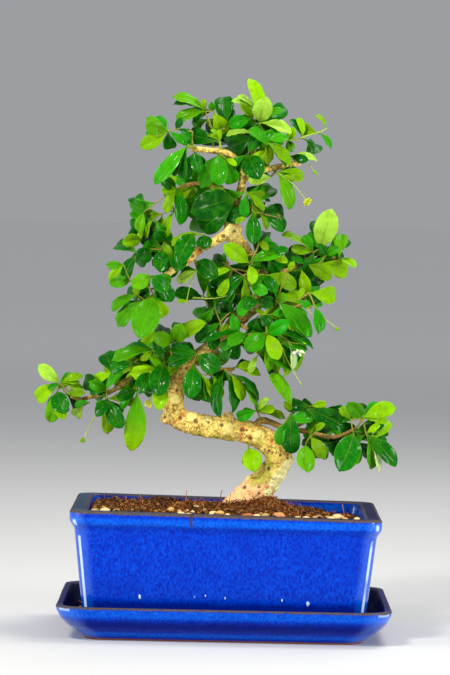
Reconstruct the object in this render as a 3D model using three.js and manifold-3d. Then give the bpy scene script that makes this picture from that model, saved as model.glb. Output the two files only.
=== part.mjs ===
// A fukien tea bonsai in a deep blue glazed pot that stands in its drip tray.
// Millimetres, +Z up. The origin is the middle of the tray's flat underside.
import * as THREE from "three";
import { mergeVertices } from "three/addons/utils/BufferGeometryUtils.js";
import Module from "manifold-3d";

const wasm = await Module();
wasm.setup();

const gap = 0.3; // room left between two pieces that touch
const leastShared = 1e-5; // cubic millimetres that count as two pieces crossing

// Driving sizes of the pot and the tray
const rimLength = 200;
const rimDepth = 150;
const rimHeight = 82;
const rimDrop = 1.3; // how far the rim falls at its right end, and rises at its left end
const potFloor = 16;
const potUnderside = 10.5;
const padHeight = 2.2;
const drainHoleRadius = 6;
const drainHolePlace = 45;
const trayLength = 215.5;
const trayDepth = 165.8;
const trayHeight = 22.5;
const trayFloor = 8;

// Driving sizes of a leaf: length over width, thickness at the midrib, how far its halves fold up,
// and its outline as [share of the length, share of the half width, lift of the edge]
const leafLengthPerWidth = 2.15;
const leafThickness = 1.2;
const leafFold = 0.26;
const leafArch = 0.1;
const leafOutline = [
  [0.3, 0.58, 0],
  [0.62, 1, 0.1],
  [0.9, 0.82, -0.12],
];
const stemRadius = 0.75;
const stalkRadius = 0.45;
const portStep = 2; // height of the stretch of a joint that holds four ports
const leastPortFacing = 0.05; // a leaf leaves only through a port that faces its way

// Repeatable random number between 0 and 1
const draw = (seed) => {
  const s = Math.sin(seed * 12.9898) * 43758.5453;
  return s - Math.floor(s);
};

const vec = (x, y, z) => new THREE.Vector3(x, y, z);

// Closed body through rings of points, each ring counterclockwise seen from the next one.
// With a tip the last ring closes in that point, otherwise both ends are flat fans.
function loft(rings, tip) {
  const sides = rings[0].length;
  const points = rings.flat();
  const faces = [];
  for (let i = 0; i + 1 < rings.length; i++) {
    for (let j = 0; j < sides; j++) {
      const k = (j + 1) % sides;
      const [a, b, c, d] = [i * sides + j, i * sides + k, (i + 1) * sides + k, (i + 1) * sides + j];
      if (j % 2) faces.push(a, b, d, b, c, d);
      else faces.push(a, b, c, a, c, d);
    }
  }
  const last = (rings.length - 1) * sides;
  for (let j = 1; j + 1 < sides; j++) faces.push(0, j + 1, j);
  if (tip) {
    points.push(tip);
    for (let j = 0; j < sides; j++) faces.push(last + j, last + ((j + 1) % sides), points.length - 1);
  } else {
    for (let j = 1; j + 1 < sides; j++) faces.push(last, last + j, last + j + 1);
  }
  const geometry = new THREE.BufferGeometry().setFromPoints(points);
  geometry.setIndex(faces);
  return geometry;
}

function solid(geometry) {
  const bare = geometry.clone();
  bare.deleteAttribute("normal");
  bare.deleteAttribute("uv");
  const merged = mergeVertices(bare, 1e-4);
  const triVerts = new Uint32Array(merged.index.array);
  return new wasm.Manifold(
    new wasm.Mesh({ numProp: 3, vertProperties: merged.attributes.position.array, triVerts }),
  );
}

const fuse = (solids) => solids.reduce((all, one) => all.add(one));

function namedMesh(name, body, look) {
  const { vertProperties, triVerts } = body.getMesh();
  const geometry = new THREE.BufferGeometry();
  geometry.setAttribute("position", new THREE.BufferAttribute(vertProperties, 3));
  geometry.setIndex(new THREE.BufferAttribute(triVerts, 1));
  const mesh = new THREE.Mesh(geometry, new THREE.MeshStandardMaterial(look));
  mesh.name = name;
  return mesh;
}

const bonsai = new THREE.Group();

// Pot and tray: a rounded rectangle carried along a profile of [half length, half depth, corner, height]
function roundedRing([halfX, halfY, corner, z], tilt, cornerSteps = 5, sideSteps = 1) {
  const ring = [];
  for (let quarter = 0; quarter < 4; quarter++) {
    const cx = (halfX - corner) * (quarter === 0 || quarter === 3 ? 1 : -1);
    const cy = (halfY - corner) * (quarter < 2 ? 1 : -1);
    for (let step = 0; step <= cornerSteps; step++) {
      const angle = ((quarter + step / cornerSteps) * Math.PI) / 2;
      const x = cx + corner * Math.cos(angle);
      ring.push(vec(x, cy + corner * Math.sin(angle), z + tilt(x, z)));
    }
    const last = ring[ring.length - 1];
    const next = quarter % 2 ? vec(last.x, -cy, 0) : vec(-cx, last.y, 0);
    for (let step = 1; step < sideSteps; step++) {
      const { x, y } = last.clone().lerp(next, step / sideSteps);
      ring.push(vec(x, y, z + tilt(x, z)));
    }
  }
  return ring;
}

const level = () => 0;
const potTilt = (x, z) => (-rimDrop * x * (z - potUnderside)) / (rimLength / 2) / (rimHeight - potUnderside);
const rimX = rimLength / 2;
const rimY = rimDepth / 2;

const potProfile = [
  [rimX - 11.5, rimY - 11.5, 9, potUnderside],
  [rimX - 9.5, rimY - 9.5, 10, potUnderside + 2],
  [rimX - 8.5, rimY - 8.5, 10, 20],
  [rimX - 3.2, rimY - 3.2, 10, rimHeight - 12],
  [rimX - 1.8, rimY - 1.8, 10.5, rimHeight - 9.5],
  [rimX, rimY, 11, rimHeight - 7],
  [rimX, rimY, 11, rimHeight - 1],
  [rimX - 0.8, rimY - 0.8, 10.5, rimHeight],
  [rimX - 9.8, rimY - 9.8, 6, rimHeight],
  [rimX - 10.8, rimY - 10.8, 5.5, rimHeight - 1.5],
  [rimX - 12.5, rimY - 12.5, 5, rimHeight - 12],
  [rimX - 15.5, rimY - 15.5, 5, potFloor],
];

function makePot() {
  let pot = solid(loft(potProfile.map((line) => roundedRing(line, potTilt))));
  const padLength = 26;
  const padDepth = 20;
  for (const [sideX, sideY] of [[1, 1], [-1, 1], [-1, -1], [1, -1]]) {
    const pad = new THREE.BoxGeometry(padLength, padDepth, padHeight + 1);
    pad.translate(sideX * (rimX - 29), sideY * (rimY - 26), potUnderside - (padHeight - 1) / 2);
    pot = pot.add(solid(pad));
  }
  for (const side of [-1, 1]) {
    const hole = new THREE.CylinderGeometry(drainHoleRadius, drainHoleRadius, 20, 16);
    hole.rotateX(Math.PI / 2).translate(side * drainHolePlace, 0, potFloor - 3);
    pot = pot.subtract(solid(hole));
  }
  return pot;
}

const trayX = trayLength / 2;
const trayY = trayDepth / 2;
const trayProfile = [
  [trayX - 18.4, trayY - 18.4, 14, 0],
  [trayX - 17.4, trayY - 17.4, 15, 1.2],
  [trayX - 12.6, trayY - 12.6, 15.5, 5],
  [trayX - 7, trayY - 7, 16, 9.5],
  [trayX - 2.9, trayY - 2.9, 17, 14.5],
  [trayX - 0.5, trayY - 0.5, 18, 19.5],
  [trayX, trayY, 18, trayHeight - 0.9],
  [trayX - 0.6, trayY - 0.6, 17.5, trayHeight],
  [trayX - 4, trayY - 4, 15, trayHeight],
  [trayX - 5, trayY - 5, 14.5, 20.5],
  [trayX - 7.5, trayY - 7.5, 13.5, 14.5],
  [trayX - 13, trayY - 13, 11, trayFloor],
];

const glaze = { color: 0x0a4fe0, roughness: 0.12, metalness: 0 };
bonsai.add(namedMesh("pot", makePot(), glaze));
bonsai.add(namedMesh("drip_tray", solid(loft(trayProfile.map((line) => roundedRing(line, level)))), glaze));

// Wood: each limb is a list of [x, y, z, radius], and a smaller list grows from a larger one
const trunkLine = [
  [7, 0, 66, 17],
  [11, 0, 78, 15],
  [16, -0.5, 87, 12.2],
  [21, -1, 94, 10.4],
  [26.5, -2, 101, 9],
  [31.5, -3, 108, 8.7],
  [33.6, -3.3, 114.5, 9.1],
  [31.5, -2.6, 120.5, 8.7],
  [26, -1, 125.6, 8.1],
  [19, 0.4, 128.8, 7.9],
  [9, 1.6, 131.6, 7.7],
  [-2, 2, 132.8, 7.5],
  [-14, 1, 134.6, 7.5],
  [-25, 0, 136.4, 7.4],
  [-32, -0.8, 138.8, 7.4],
  [-36, -1, 144.5, 7.3],
  [-35.6, -0.4, 152, 6.6],
  [-33.8, 0.6, 160, 5.5],
  [-31.5, 1, 168, 4.7],
  [-25, 0, 177, 4.6],
  [-14.5, -1, 185, 4.6],
  [-6.5, 0, 192, 4.6],
  [4, 1.5, 203, 4.7],
  [14, 3, 212.5, 4.8],
  [20.5, 2.6, 220, 4.8],
  [21, 1.4, 230, 4.6],
  [15.5, 0, 241, 4.3],
  [7.5, -1, 252, 4.4],
  [0.5, -1, 261, 5.2],
  [-0.4, 0, 269, 3.8],
  [2, 1, 277, 2.8],
  [3.5, 1, 285, 2.5],
  [6, 1, 294, 2.5],
  [5.6, 0.4, 303, 2.4],
  [1.5, 0, 310, 2.3],
  [-6, -1, 314.2, 2.2],
  [-17, -4, 315.2, 2.1],
  [-28, -8, 316, 2.1],
];

const limbs = {
  topRight: [[6, 1, 297, 2.1], [10, 3, 309, 2.1], [15.5, 6, 321, 1.9], [19, 8, 327, 1.8]],
  cutRight: [[6, 1, 296, 2.2], [13, 2, 300.5, 2.2], [22, 5, 303.5, 2.2], [44, 12, 308.5, 2.1]],
  pinkTwig: [[3.5, 1, 286, 1.6], [-8, 4, 290, 1.5], [-23, 6, 293.5, 1.4], [-34, 8, 291, 1.2]],
  midLeft: [
    [0, -1, 262, 3.6], [-10, -4, 256.5, 3], [-22, -8, 249.5, 2.8], [-28, -10, 243, 2.6],
    [-40, -14, 235, 2.2], [-50, -18, 224, 1.7],
  ],
  midRight: [
    [19, 0.5, 233, 2.2], [28, 4, 235, 1.9], [37, 7, 237.5, 1.7], [50, 10, 243.5, 1.5],
    [56, 11, 244, 1.4], [64, 12, 247, 1.2], [75, 13, 244, 1],
  ],
  lowLeft: [
    [-32.5, 1, 164, 2.2], [-46, 5, 167, 1.8], [-63, 8, 165, 1.6], [-77, 10, 155.5, 1.5],
    [-90, 12, 151.5, 1.4], [-98, 13, 149.5, 1.2], [-104, 13.5, 151.5, 1],
  ],
  lowRight: [
    [15, 0, 131, 3], [21, -3, 138.5, 2.4], [27, -5, 138.5, 2], [37, -9, 135, 1.8],
    [52, -13, 133, 1.5], [69, -17, 130, 1.3], [84, -20, 136, 1.2],
  ],
  redTwig: [[36, -8.7, 135, 1.3], [42.5, -12, 145.5, 1.1], [47.5, -14, 150.5, 1]],
  hangingTwig: [[-25, 0, 177, 1.5], [-15, -8, 174, 1.3], [-3, -10, 172.5, 1.2], [4, -10, 173, 1]],
  innerTwig: [[5, 1.5, 203, 1.5], [13, -8, 198.5, 1.3], [22, -14, 196, 1.2]],
  elbowTwig: [[-32, 1, 167, 1.6], [-36.5, -4, 178, 1.3], [-38, -6, 187, 1]],
  rightTwig: [[20.5, 2, 219, 1.6], [32, -8, 217, 1.3], [42, -14, 214, 1.2], [50, -18, 219, 1]],
  rearTop: [[5.5, 1, 301, 1.8], [4, 12, 309, 1.4], [0, 22, 318, 1]],
  rearUpper: [[0, 0, 266, 2.2], [-8, 16, 270, 1.6], [-16, 32, 279, 1]],
  rearMiddle: [[20, 2, 222, 2.2], [27, 14, 226, 1.6], [36, 30, 230, 1]],
  rearInner: [[-6, 0, 192, 2], [-8, 12, 199, 1.5], [-14, 24, 211, 1]],
  rearLeft: [[-34, 1, 159, 2.2], [-44, 16, 163, 1.6], [-56, 33, 172, 1]],
  rearRight: [[36, -8.6, 135, 1.7], [46, 6, 136, 1.4], [58, 22, 141, 1]],
};

// Knots, stubs and burrs on the trunk: [x, y, z, half sizes]
const knots = [
  [39, -3, 113.5, 5.4, 5, 3.4],
  [-40, -1, 139, 4.2, 4.6, 4.4],
  [0.5, 1, 141, 4.2, 2.6, 3.6],
  [-30, 0, 142.5, 4, 3.6, 2.8],
  [23, 2, 217.5, 4.4, 3.6, 3.2],
  [2, -1, 264, 4.6, 4.4, 4],
  [6, -6, 85, 8, 6, 5],
  [24, 6, 86, 8, 8, 6],
];

// Tube along a limb, its rings square to the way
function limbSolid(line, sides, extra) {
  const way = line.map(([x, y, z]) => vec(x, y, z));
  const rings = way.map((place, i) => {
    const ahead = way[Math.min(i + 1, way.length - 1)].clone().sub(place).normalize();
    const behind = place.clone().sub(way[Math.max(i - 1, 0)]).normalize();
    const along = ahead.add(behind).normalize();
    const sideways = Math.abs(along.y) < 0.9 ? vec(0, 1, 0) : vec(1, 0, 0);
    const up = along.clone().cross(sideways).normalize();
    const across = up.clone().cross(along);
    const radius = line[i][3] + extra;
    const ring = [];
    for (let j = 0; j < sides; j++) {
      const angle = (j * 2 * Math.PI) / sides;
      const point = place.clone().addScaledVector(across, radius * Math.cos(angle));
      ring.push(point.addScaledVector(up, radius * Math.sin(angle)));
    }
    return ring;
  });
  return solid(loft(rings));
}

function knotSolid([x, y, z, a, b, c], extra) {
  const ball = new THREE.IcosahedronGeometry(1, 0);
  ball.scale(a + extra, b + extra, c + extra);
  return solid(ball.translate(x, y, z));
}

const makeWood = (extra) => fuse([
  limbSolid(trunkLine, 10, extra),
  ...Object.values(limbs).map((line) => limbSolid(line, 5, extra)),
  ...knots.map((knot) => knotSolid(knot, extra)),
]);

const wood = makeWood(0);
const woodWithGap = makeWood(gap + 0.05);
bonsai.add(namedMesh("trunk", wood, { color: 0xc9a866, roughness: 0.85, metalness: 0 }));

// Soil: a loose mound against the root flare, low in the far right corner
const soilHeight = (x, y) =>
  80.2 - 0.012 * x - 0.024 * (y + 60) +
  9 * Math.exp(-(((x - 12) / 34) ** 2) - (y / 40) ** 2) -
  6 * Math.exp(-(((x - 88) / 24) ** 2) - ((y - 35) / 40) ** 2) +
  2.5 * Math.exp(-(((x + 48) / 30) ** 2) - ((y - 45) / 40) ** 2) +
  1.2 * Math.sin(x / 5.3 + y / 9) * Math.cos(y / 6.1);

const pebbles = [
  [-84, -52, 2.6], [-77, -56, 2.8], [-70, -50, 2.2], [-62, -40, 2.6], [-35, -30, 3],
  [-27, -58, 3.6], [-6, -59, 2.6], [3, -60, 2], [14, -52, 3.2], [24, -60, 2.4],
  [34, -50, 3.6], [45, -57, 3], [52, -60, 2.2], [64, -54, 2.8], [71, -38, 3.2], [84, -50, 2.2],
];

function makeSoil() {
  const inner = (inset, z) => [rimX - inset - gap, rimY - inset - gap, 5, z];
  const outlineOf = (line, tilt) => roundedRing(line, tilt, 1, 6);
  const rings = [outlineOf(inner(15.5, potFloor + gap), potTilt), outlineOf(inner(12.7, 69), potTilt)];
  for (const share of [1, 0.88, 0.72, 0.54, 0.36, 0.18, 0.06]) {
    const outline = outlineOf(inner(12, 0), level);
    rings.push(outline.map(({ x, y }) => vec(x * share, y * share, soilHeight(x * share, y * share))));
  }
  let soil = solid(loft(rings));
  pebbles.forEach(([x, y, size], i) => {
    const stone = new THREE.IcosahedronGeometry(size, 0);
    stone.scale(1.2, 1, 0.7).rotateZ(i);
    soil = soil.add(solid(stone.translate(x, y, soilHeight(x, y) - 0.3 * size)));
  });
  return soil.subtract(fuse([
    limbSolid(trunkLine.slice(0, 6), 10, gap + 0.05),
    ...knots.slice(-2).map((knot) => knotSolid(knot, gap + 0.05)),
  ]));
}

bonsai.add(namedMesh("soil", makeSoil(), { color: 0x4a2c1c, roughness: 1, metalness: 0 }));

// Leafy shoots, from the top of the crown down. Each has its root on the wood, the depth at which its
// leaves sit (minus is nearer the viewer) and, seen from the front, the joints of its bare twigs as
// [x, z], its leaves as [root x, root z, tip x, tip z, width] and its flower stalks as
// [root x, root z, tip x, tip z, calyx size].
const shoots = {
  top_left: {
    root: [-26, -7.3, 316], depth: -12, twigs: [[-27, 327], [-38, 328.5]],
    leaves: [
      [-43, 327, -57.5, 335.5, 8], [-43, 327, -57.5, 330, 8], [-43, 325, -60.5, 316, 10],
      [-43, 326, -41, 316, 9], [-40, 324, -32, 318, 5], [-38, 325, -27, 323, 4], [-34, 329, -34, 336, 5],
    ],
  },
  top_left_upper: {
    root: [-13, -3, 315], depth: 4, twigs: [[-13, 326], [-17, 336]],
    leaves: [
      [-19, 341, -41, 350, 7], [-19, 341, -40, 345, 4], [-19, 341, -20.5, 349, 4], [-19, 340, -38, 335, 8],
      [-19, 340, -27, 333.5, 5], [-14, 341, -15, 347, 5], [-6, 330, -7, 350.5, 13],
    ],
  },
  top_buds: {
    root: [-9, -2, 314.5], depth: -7, twigs: [],
    leaves: [[-9, 321, -10, 329, 3], [-9, 321, -15, 329, 3], [-9, 320, -17, 325, 3]],
  },
  top: {
    root: [16, 6.3, 322.5], depth: 3, twigs: [[17, 334]],
    leaves: [
      [17, 336, 9.4, 363, 9.5], [17, 330, 21, 350, 13], [15, 341, 2, 351.5, 4], [13, 339, -2, 348, 4],
      [12, 337, 4, 346, 6], [20, 338, 32, 343, 5], [18, 331, 38, 328, 7],
    ],
  },
  top_front: {
    root: [15, 5.7, 320], depth: -8, twigs: [],
    leaves: [
      [14, 326, -4, 318, 14.5], [16, 329, -5, 325, 4], [20, 322, 36, 324, 6], [22, 319, 37, 306, 7],
      [19, 322, 22, 306, 6], [24, 317, 35, 308, 5],
    ],
  },
  young_shoot: {
    root: [18.5, 7.6, 326], depth: 12, twigs: [[28, 321.5], [36, 323], [45, 325], [55, 328.5], [61, 331.5]],
    leaves: [
      [36, 323, 39.5, 331.5, 6], [43.5, 325, 41.5, 338, 5], [41, 326, 37, 337, 5], [56, 329, 44.5, 331, 8.5],
      [60, 331, 53.5, 340, 3], [58, 329, 64, 318, 4], [36, 322, 38, 315, 6], [45, 324, 53, 315, 3],
    ],
  },
  crown_right: {
    root: [9.5, 2.7, 308], depth: -7, twigs: [],
    leaves: [[9, 313, 17, 297, 15], [8, 311, -2, 301, 6]],
  },
  cut_branch_leaves: {
    root: [29, 7.3, 305], depth: 0, twigs: [],
    leaves: [[25, 299, 10, 296, 8], [28.6, 302, 46.4, 299, 9], [28.5, 299, 38, 277.5, 9]],
    stalks: [[30, 299, 49, 283, 3]],
  },
  cut_branch_end: {
    root: [41, 11, 308], depth: 7, twigs: [],
    leaves: [[38, 313, 49, 310, 6], [41, 314, 55, 309.5, 4]],
    stalks: [[46, 311, 53, 303, 2]],
  },
  crown_left: {
    root: [-23, -6.3, 315.7], depth: -15, twigs: [],
    leaves: [
      [-30, 318, -51, 292, 10], [-29, 316, -39, 298, 8], [-27, 316, -32, 296, 7], [-25, 314, -22, 300, 8],
    ],
  },
  crown_middle: {
    root: [-8, -1.5, 314.4], depth: -10, twigs: [],
    leaves: [[-9, 313, -21, 290, 11], [-6, 312, -9, 292, 12], [-5, 310, -6, 301, 4], [-5, 311, 2, 305, 4]],
  },
  upper_right: {
    root: [5.5, 1, 292], depth: -8, twigs: [[9, 288], [13, 276]],
    leaves: [
      [11, 288, 21.5, 286, 6.5], [8, 285, 8.5, 272, 7], [12, 285, 20.5, 276, 5], [13, 281, 18, 271.5, 6],
      [18, 275, 23, 264, 4], [13, 274, 14.5, 254.5, 10.5], [10, 272, 2, 268, 4],
    ],
    stalks: [[17, 275, 30, 272.5, 3]],
  },
  fork_right: {
    root: [12, -0.5, 246], depth: -11, twigs: [[15, 248]],
    leaves: [
      [12, 242, -4.5, 254, 11], [14, 243, 33, 249, 8], [18, 256, 31, 252, 6], [16, 254, 24, 251, 5],
      [24, 246, 37, 252, 6], [28, 245, 37, 243, 5],
    ],
  },
  upper_left: {
    root: [3, 1, 281], depth: -9, twigs: [],
    leaves: [[2, 284, -26, 275, 20], [0, 281, -20, 263, 16]],
  },
  pink_twig_leaves: {
    root: [-33, 7.8, 291], depth: 7, twigs: [[-37, 290], [-42, 286], [-50, 280.5]],
    leaves: [
      [-36, 291, -47, 297, 8], [-36, 291, -47, 288, 7], [-36, 289, -43, 273, 7], [-38, 275, -43, 257, 7],
      [-35, 289, -34, 266, 9], [-46, 273, -55, 271, 7], [-58, 274, -61, 260, 7], [-51, 270, -56, 257, 4],
      [-57, 264, -62, 254, 4], [-59, 256, -71.5, 254, 9],
    ],
  },
  middle_left_top: {
    root: [-14, -5.3, 254], depth: -14, twigs: [[-18, 260]],
    leaves: [[-22, 262, -39, 252, 5], [-24, 261, -38, 240, 14], [-16, 262, -18, 251, 10]],
  },
  middle_left_high: {
    root: [-35, -12.4, 238.5], depth: -8, twigs: [[-40, 246]],
    leaves: [
      [-45, 250, -46, 235, 11], [-33, 249, -36, 236, 11], [-52, 250, -62, 240, 11], [-61, 247, -70, 228, 9],
      [-44, 255, -50, 262, 8], [-43, 257, -40, 244, 6],
    ],
  },
  middle_left_low: {
    root: [-49, -17.6, 225.2], depth: -23, twigs: [[-52, 224]],
    leaves: [
      [-50, 220, -59, 193, 18], [-56, 217, -73, 199, 10], [-60, 220, -77, 210, 7], [-57, 230, -62, 220, 5],
      [-49, 220, -43, 206, 9], [-53, 231, -57, 218, 8], [-51, 233, -41, 223, 10], [-65, 229, -79, 228, 8],
      [-70, 240, -81, 239.5, 6],
    ],
  },
  middle_left_inner: {
    root: [-25, -9, 246], depth: -15, twigs: [],
    leaves: [[-22, 237, -35, 229, 7], [-23, 243, -9, 233, 12]],
    stalks: [[-20, 236, -28.6, 216, 1.6]],
  },
  centre: {
    root: [16.5, 0, 238], depth: -13, twigs: [[12, 236]],
    leaves: [
      [1, 238, -12, 234, 5], [-1, 233, -8, 220, 7], [9, 238, -6, 217, 9], [8, 234, -1, 216, 7],
      [10, 233, 8, 216, 5], [12, 241, 14, 229, 7], [16, 236, 24, 228, 9], [22, 235, 30, 224, 8],
      [13, 228, 24, 223, 8], [17, 219, 28, 214, 6], [12, 222, 6, 208, 8],
    ],
    stalks: [[5, 236, -3, 241, 3.5], [2, 222, -23, 219, 1.4]],
  },
  centre_left: {
    root: [1, 1, 200], depth: -9, twigs: [],
    leaves: [[1, 210, -14, 199, 10], [-6, 203, -22, 190, 9], [-7, 196, -1, 202, 4], [-10, 213, -17, 203, 7]],
  },
  centre_low: {
    root: [21, -13.4, 196.3], depth: -18, twigs: [[12, 196]],
    leaves: [
      [24, 197, 17, 213, 4], [26, 209, 21, 202, 8], [18, 208, 14, 199, 8], [12, 198, -14, 190, 4],
      [7, 194, -6, 185, 7], [8, 193, 1, 179, 9], [3, 190, -4, 178, 6], [20, 197, 10, 187, 13],
      [24, 195, 32, 180, 10], [24, 195, 26, 171, 8], [19, 183, 14, 170.5, 5], [24, 199, 38, 205, 10],
      [30, 197, 54.5, 187, 5], [38, 192, 41, 172, 4],
    ],
    stalks: [[33, 190, 47, 164.5, 1.6], [38, 190, 44, 186, 4], [38, 191, 47, 191, 1.8]],
  },
  middle_right: {
    root: [54, 10.7, 243.8], depth: 4, twigs: [[54, 250]],
    leaves: [
      [54, 252, 32.5, 261, 5], [54, 251, 47, 261, 6], [58, 252, 64.5, 278, 15.5], [62, 248, 58, 257, 6],
      [64, 248, 70, 254, 6], [58, 243, 77, 237, 12], [50, 242, 66, 233, 9], [50, 250, 39, 252, 7],
      [52, 246, 39, 246, 5], [46, 239, 50, 222, 8],
    ],
  },
  middle_right_end: {
    root: [70, 12.5, 245.4], depth: 10, twigs: [],
    leaves: [[71, 246, 73, 262.5, 9.5], [74, 244, 81, 240, 5]],
  },
  right_twig_start: {
    root: [33, -8.6, 216.7], depth: -14, twigs: [],
    leaves: [[30, 218, 53.5, 195, 12], [38, 211, 50.5, 195, 7], [40, 208, 41, 198, 6], [37, 237, 41, 244, 4]],
  },
  right_twig_end: {
    root: [48, -17, 217.8], depth: -20, twigs: [],
    leaves: [[51, 224, 68, 223, 12], [44, 219, 53, 214, 5], [45, 220, 47, 227, 4]],
    stalks: [[54.5, 216, 69, 201.6, 2.2], [50, 214, 55, 207.7, 2.2]],
  },
  elbow_top: {
    root: [-38, -5.5, 185], depth: -5, twigs: [],
    leaves: [
      [-37, 189, -31, 202, 11], [-36, 189, -16, 203, 9], [-41, 190, -50, 195, 10], [-41, 188, -50, 186, 8],
    ],
  },
  trunk_tuft: {
    root: [-23, -1, 179], depth: -11, twigs: [],
    leaves: [
      [-21, 182, -39, 186, 8], [-22, 179, -40, 175, 9], [-20, 181, -6, 172, 13], [-23, 176, -25, 153.5, 12],
      [-18, 169, -15, 152, 4], [-15, 169, -11, 153, 4], [-11, 169, -7.5, 150, 7],
    ],
  },
  hanging_twig_leaves: {
    root: [1, -10, 172.8], depth: -12, twigs: [],
    leaves: [
      [-3, 172, -6, 142, 8], [0, 170, 3, 144, 7], [1, 170, 9, 152, 7], [2, 170, 20, 152, 4],
      [5, 166, 18, 145.5, 4], [4, 174, 16, 176, 6], [5, 172, 21, 169, 6],
    ],
  },
  low_left_start: {
    root: [-44, 4.4, 166.7], depth: -7, twigs: [[-45, 172]],
    leaves: [
      [-46, 175, -65, 168, 11], [-50, 184, -77, 176, 8], [-47, 181, -58, 177, 5], [-62, 176, -78, 169, 8],
      [-43, 174, -47, 155, 15], [-52, 170, -58, 156, 11], [-41, 161, -46, 146, 10], [-42, 176, -49, 187, 5],
    ],
    stalks: [[-47, 160, -52, 149, 3]],
  },
  low_left_hanging: {
    root: [-62, 7.8, 165.1], depth: 3, twigs: [],
    leaves: [[-60, 157, -63, 116.5, 14.5], [-60, 160, -70, 144, 5], [-63, 160, -73, 152, 8]],
  },
  low_left_middle: {
    root: [-79, 10.3, 154.9], depth: 4, twigs: [],
    leaves: [
      [-80, 156, -92, 163, 8], [-81, 155, -92, 157, 7], [-79, 156, -70, 169, 6], [-76, 167, -82, 180, 12],
      [-80, 151, -86, 140, 8], [-79, 151, -69, 132, 11], [-83, 146, -79, 127, 8],
    ],
    stalks: [[-84, 148, -94, 125, 3]],
  },
  low_left_twig: {
    root: [-94, 12.5, 150.5], depth: 8, twigs: [],
    leaves: [[-95, 146, -101, 138, 8], [-91, 148, -101, 145, 4]],
  },
  low_left_tip: {
    root: [-103, 13.4, 151.2], depth: 13, twigs: [],
    leaves: [
      [-111, 160, -125, 172, 9], [-110, 160, -96, 164.5, 5], [-110, 159, -98, 161, 4],
      [-109, 157, -96, 155, 5], [-107, 153, -94, 154, 6], [-113, 158, -119, 156, 4],
      [-113, 155, -117, 134, 10], [-112, 149, -108, 136.5, 8], [-112, 156, -107, 141, 12],
    ],
  },
  low_right_start: {
    root: [23, -3.7, 138.5], depth: -10, twigs: [],
    leaves: [[19, 146, 27, 154, 4], [20, 146, 31, 147.5, 6], [18, 145, 6, 141, 8], [23, 144, 38, 141, 5]],
  },
  trunk_underside: {
    root: [14, 0, 125], depth: 1, twigs: [],
    leaves: [[14, 121, 18, 106.5, 13]],
  },
  red_twig_leaves: {
    root: [46, -13.4, 149], depth: -17, twigs: [],
    leaves: [
      [42, 147, 27, 170.5, 9], [49, 149, 77.5, 137, 13], [54, 150, 64, 152, 5], [42, 144, 42, 118.5, 13],
      [40, 146, 36, 153, 5], [38, 140, 34, 124, 7],
    ],
  },
  low_right_middle: {
    root: [55, -13.7, 132.5], depth: -18, twigs: [],
    leaves: [[51, 125, 52.5, 107.5, 12], [54, 130, 64, 116, 9], [61, 127, 64, 115, 5], [57, 133, 63, 139, 4]],
  },
  low_right_tip: {
    root: [82, -19.5, 135], depth: -24, twigs: [],
    leaves: [
      [87, 143, 77, 154, 10], [80, 142, 73, 150, 6], [88, 145, 108.5, 151, 10.5], [90, 142, 98, 142.5, 4],
      [90, 133, 99, 139, 4], [94, 133, 110, 112, 10], [87, 134, 94.5, 110, 9], [92, 128, 98, 108, 4],
      [81.6, 134, 72.5, 110.5, 17], [84, 128, 84, 113, 6],
    ],
  },
};

// Rear shoots fan their leaves round the end of a rear limb, a golden angle apart
const rearShoots = {
  rear_top: { limb: "rearTop", count: 9, leafLength: 23 },
  rear_upper: { limb: "rearUpper", count: 11, leafLength: 25 },
  rear_middle: { limb: "rearMiddle", count: 11, leafLength: 25 },
  rear_inner: { limb: "rearInner", count: 8, leafLength: 22 },
  rear_left: { limb: "rearLeft", count: 10, leafLength: 24 },
  rear_right: { limb: "rearRight", count: 9, leafLength: 23 },
};
const goldenAngle = 2.4;
const rearJointStep = 4.5;
const jointMerge = 4.5; // two joints nearer than this are one

// A leaf is bent nearer or further in steps until it clears the wood and every other leaf.
// It is probed at [share of the length, share of the half width].
const probes = [[0.3, 0], [0.5, 0.7], [0.5, -0.7], [0.72, 0.95], [0.72, 0], [0.72, -0.95], [1, 0]];
const bendStep = 2.6;
const bends = [0, 1, -1, 2, -2, 3, -3, 4, -4, 5, -5, 6, -6];
const clearOfOthers = 3.4;
const clearOfOwn = 1.9;
const clearOfWood = 2;
const twinChance = 0.5; // a shown leaf may have a twin that leans away from the viewer behind it

// Frame of a leaf: along it, over its upper face and across it. What it shows narrow is roll.
function leafFrame(root, tip, width, trueWidth) {
  const along = tip.clone().sub(root).normalize();
  const across = along.clone().cross(vec(0, 1, 0)).normalize();
  const face = across.clone().cross(along).normalize();
  if (face.y > 0) {
    face.negate();
    across.negate();
  }
  const roll = Math.acos(Math.min(1, width / trueWidth)) * (across.z > 0 ? 1 : -1);
  const upper = face.multiplyScalar(Math.cos(roll)).addScaledVector(across, Math.sin(roll));
  return { along, upper, across: upper.clone().cross(along) };
}

function leafPoint(leaf, share, side) {
  const { frame, root, length, trueWidth } = leaf;
  const rise = leafFold * Math.abs(side) * trueWidth * 0.5 - leafArch * length * (2 * share - 1) ** 2;
  return root.clone()
    .addScaledVector(frame.along, share * length)
    .addScaledVector(frame.across, side * trueWidth * 0.5)
    .addScaledVector(frame.upper, rise + leafArch * length);
}

function makeLeaf(root, tip, width) {
  const length = root.distanceTo(tip);
  const trueWidth = Math.max(width, Math.min(length / leafLengthPerWidth, 11));
  return { root, tip, width, length, trueWidth, frame: leafFrame(root, tip, width, trueWidth) };
}

const woodLines = [trunkLine, ...Object.values(limbs)];

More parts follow.
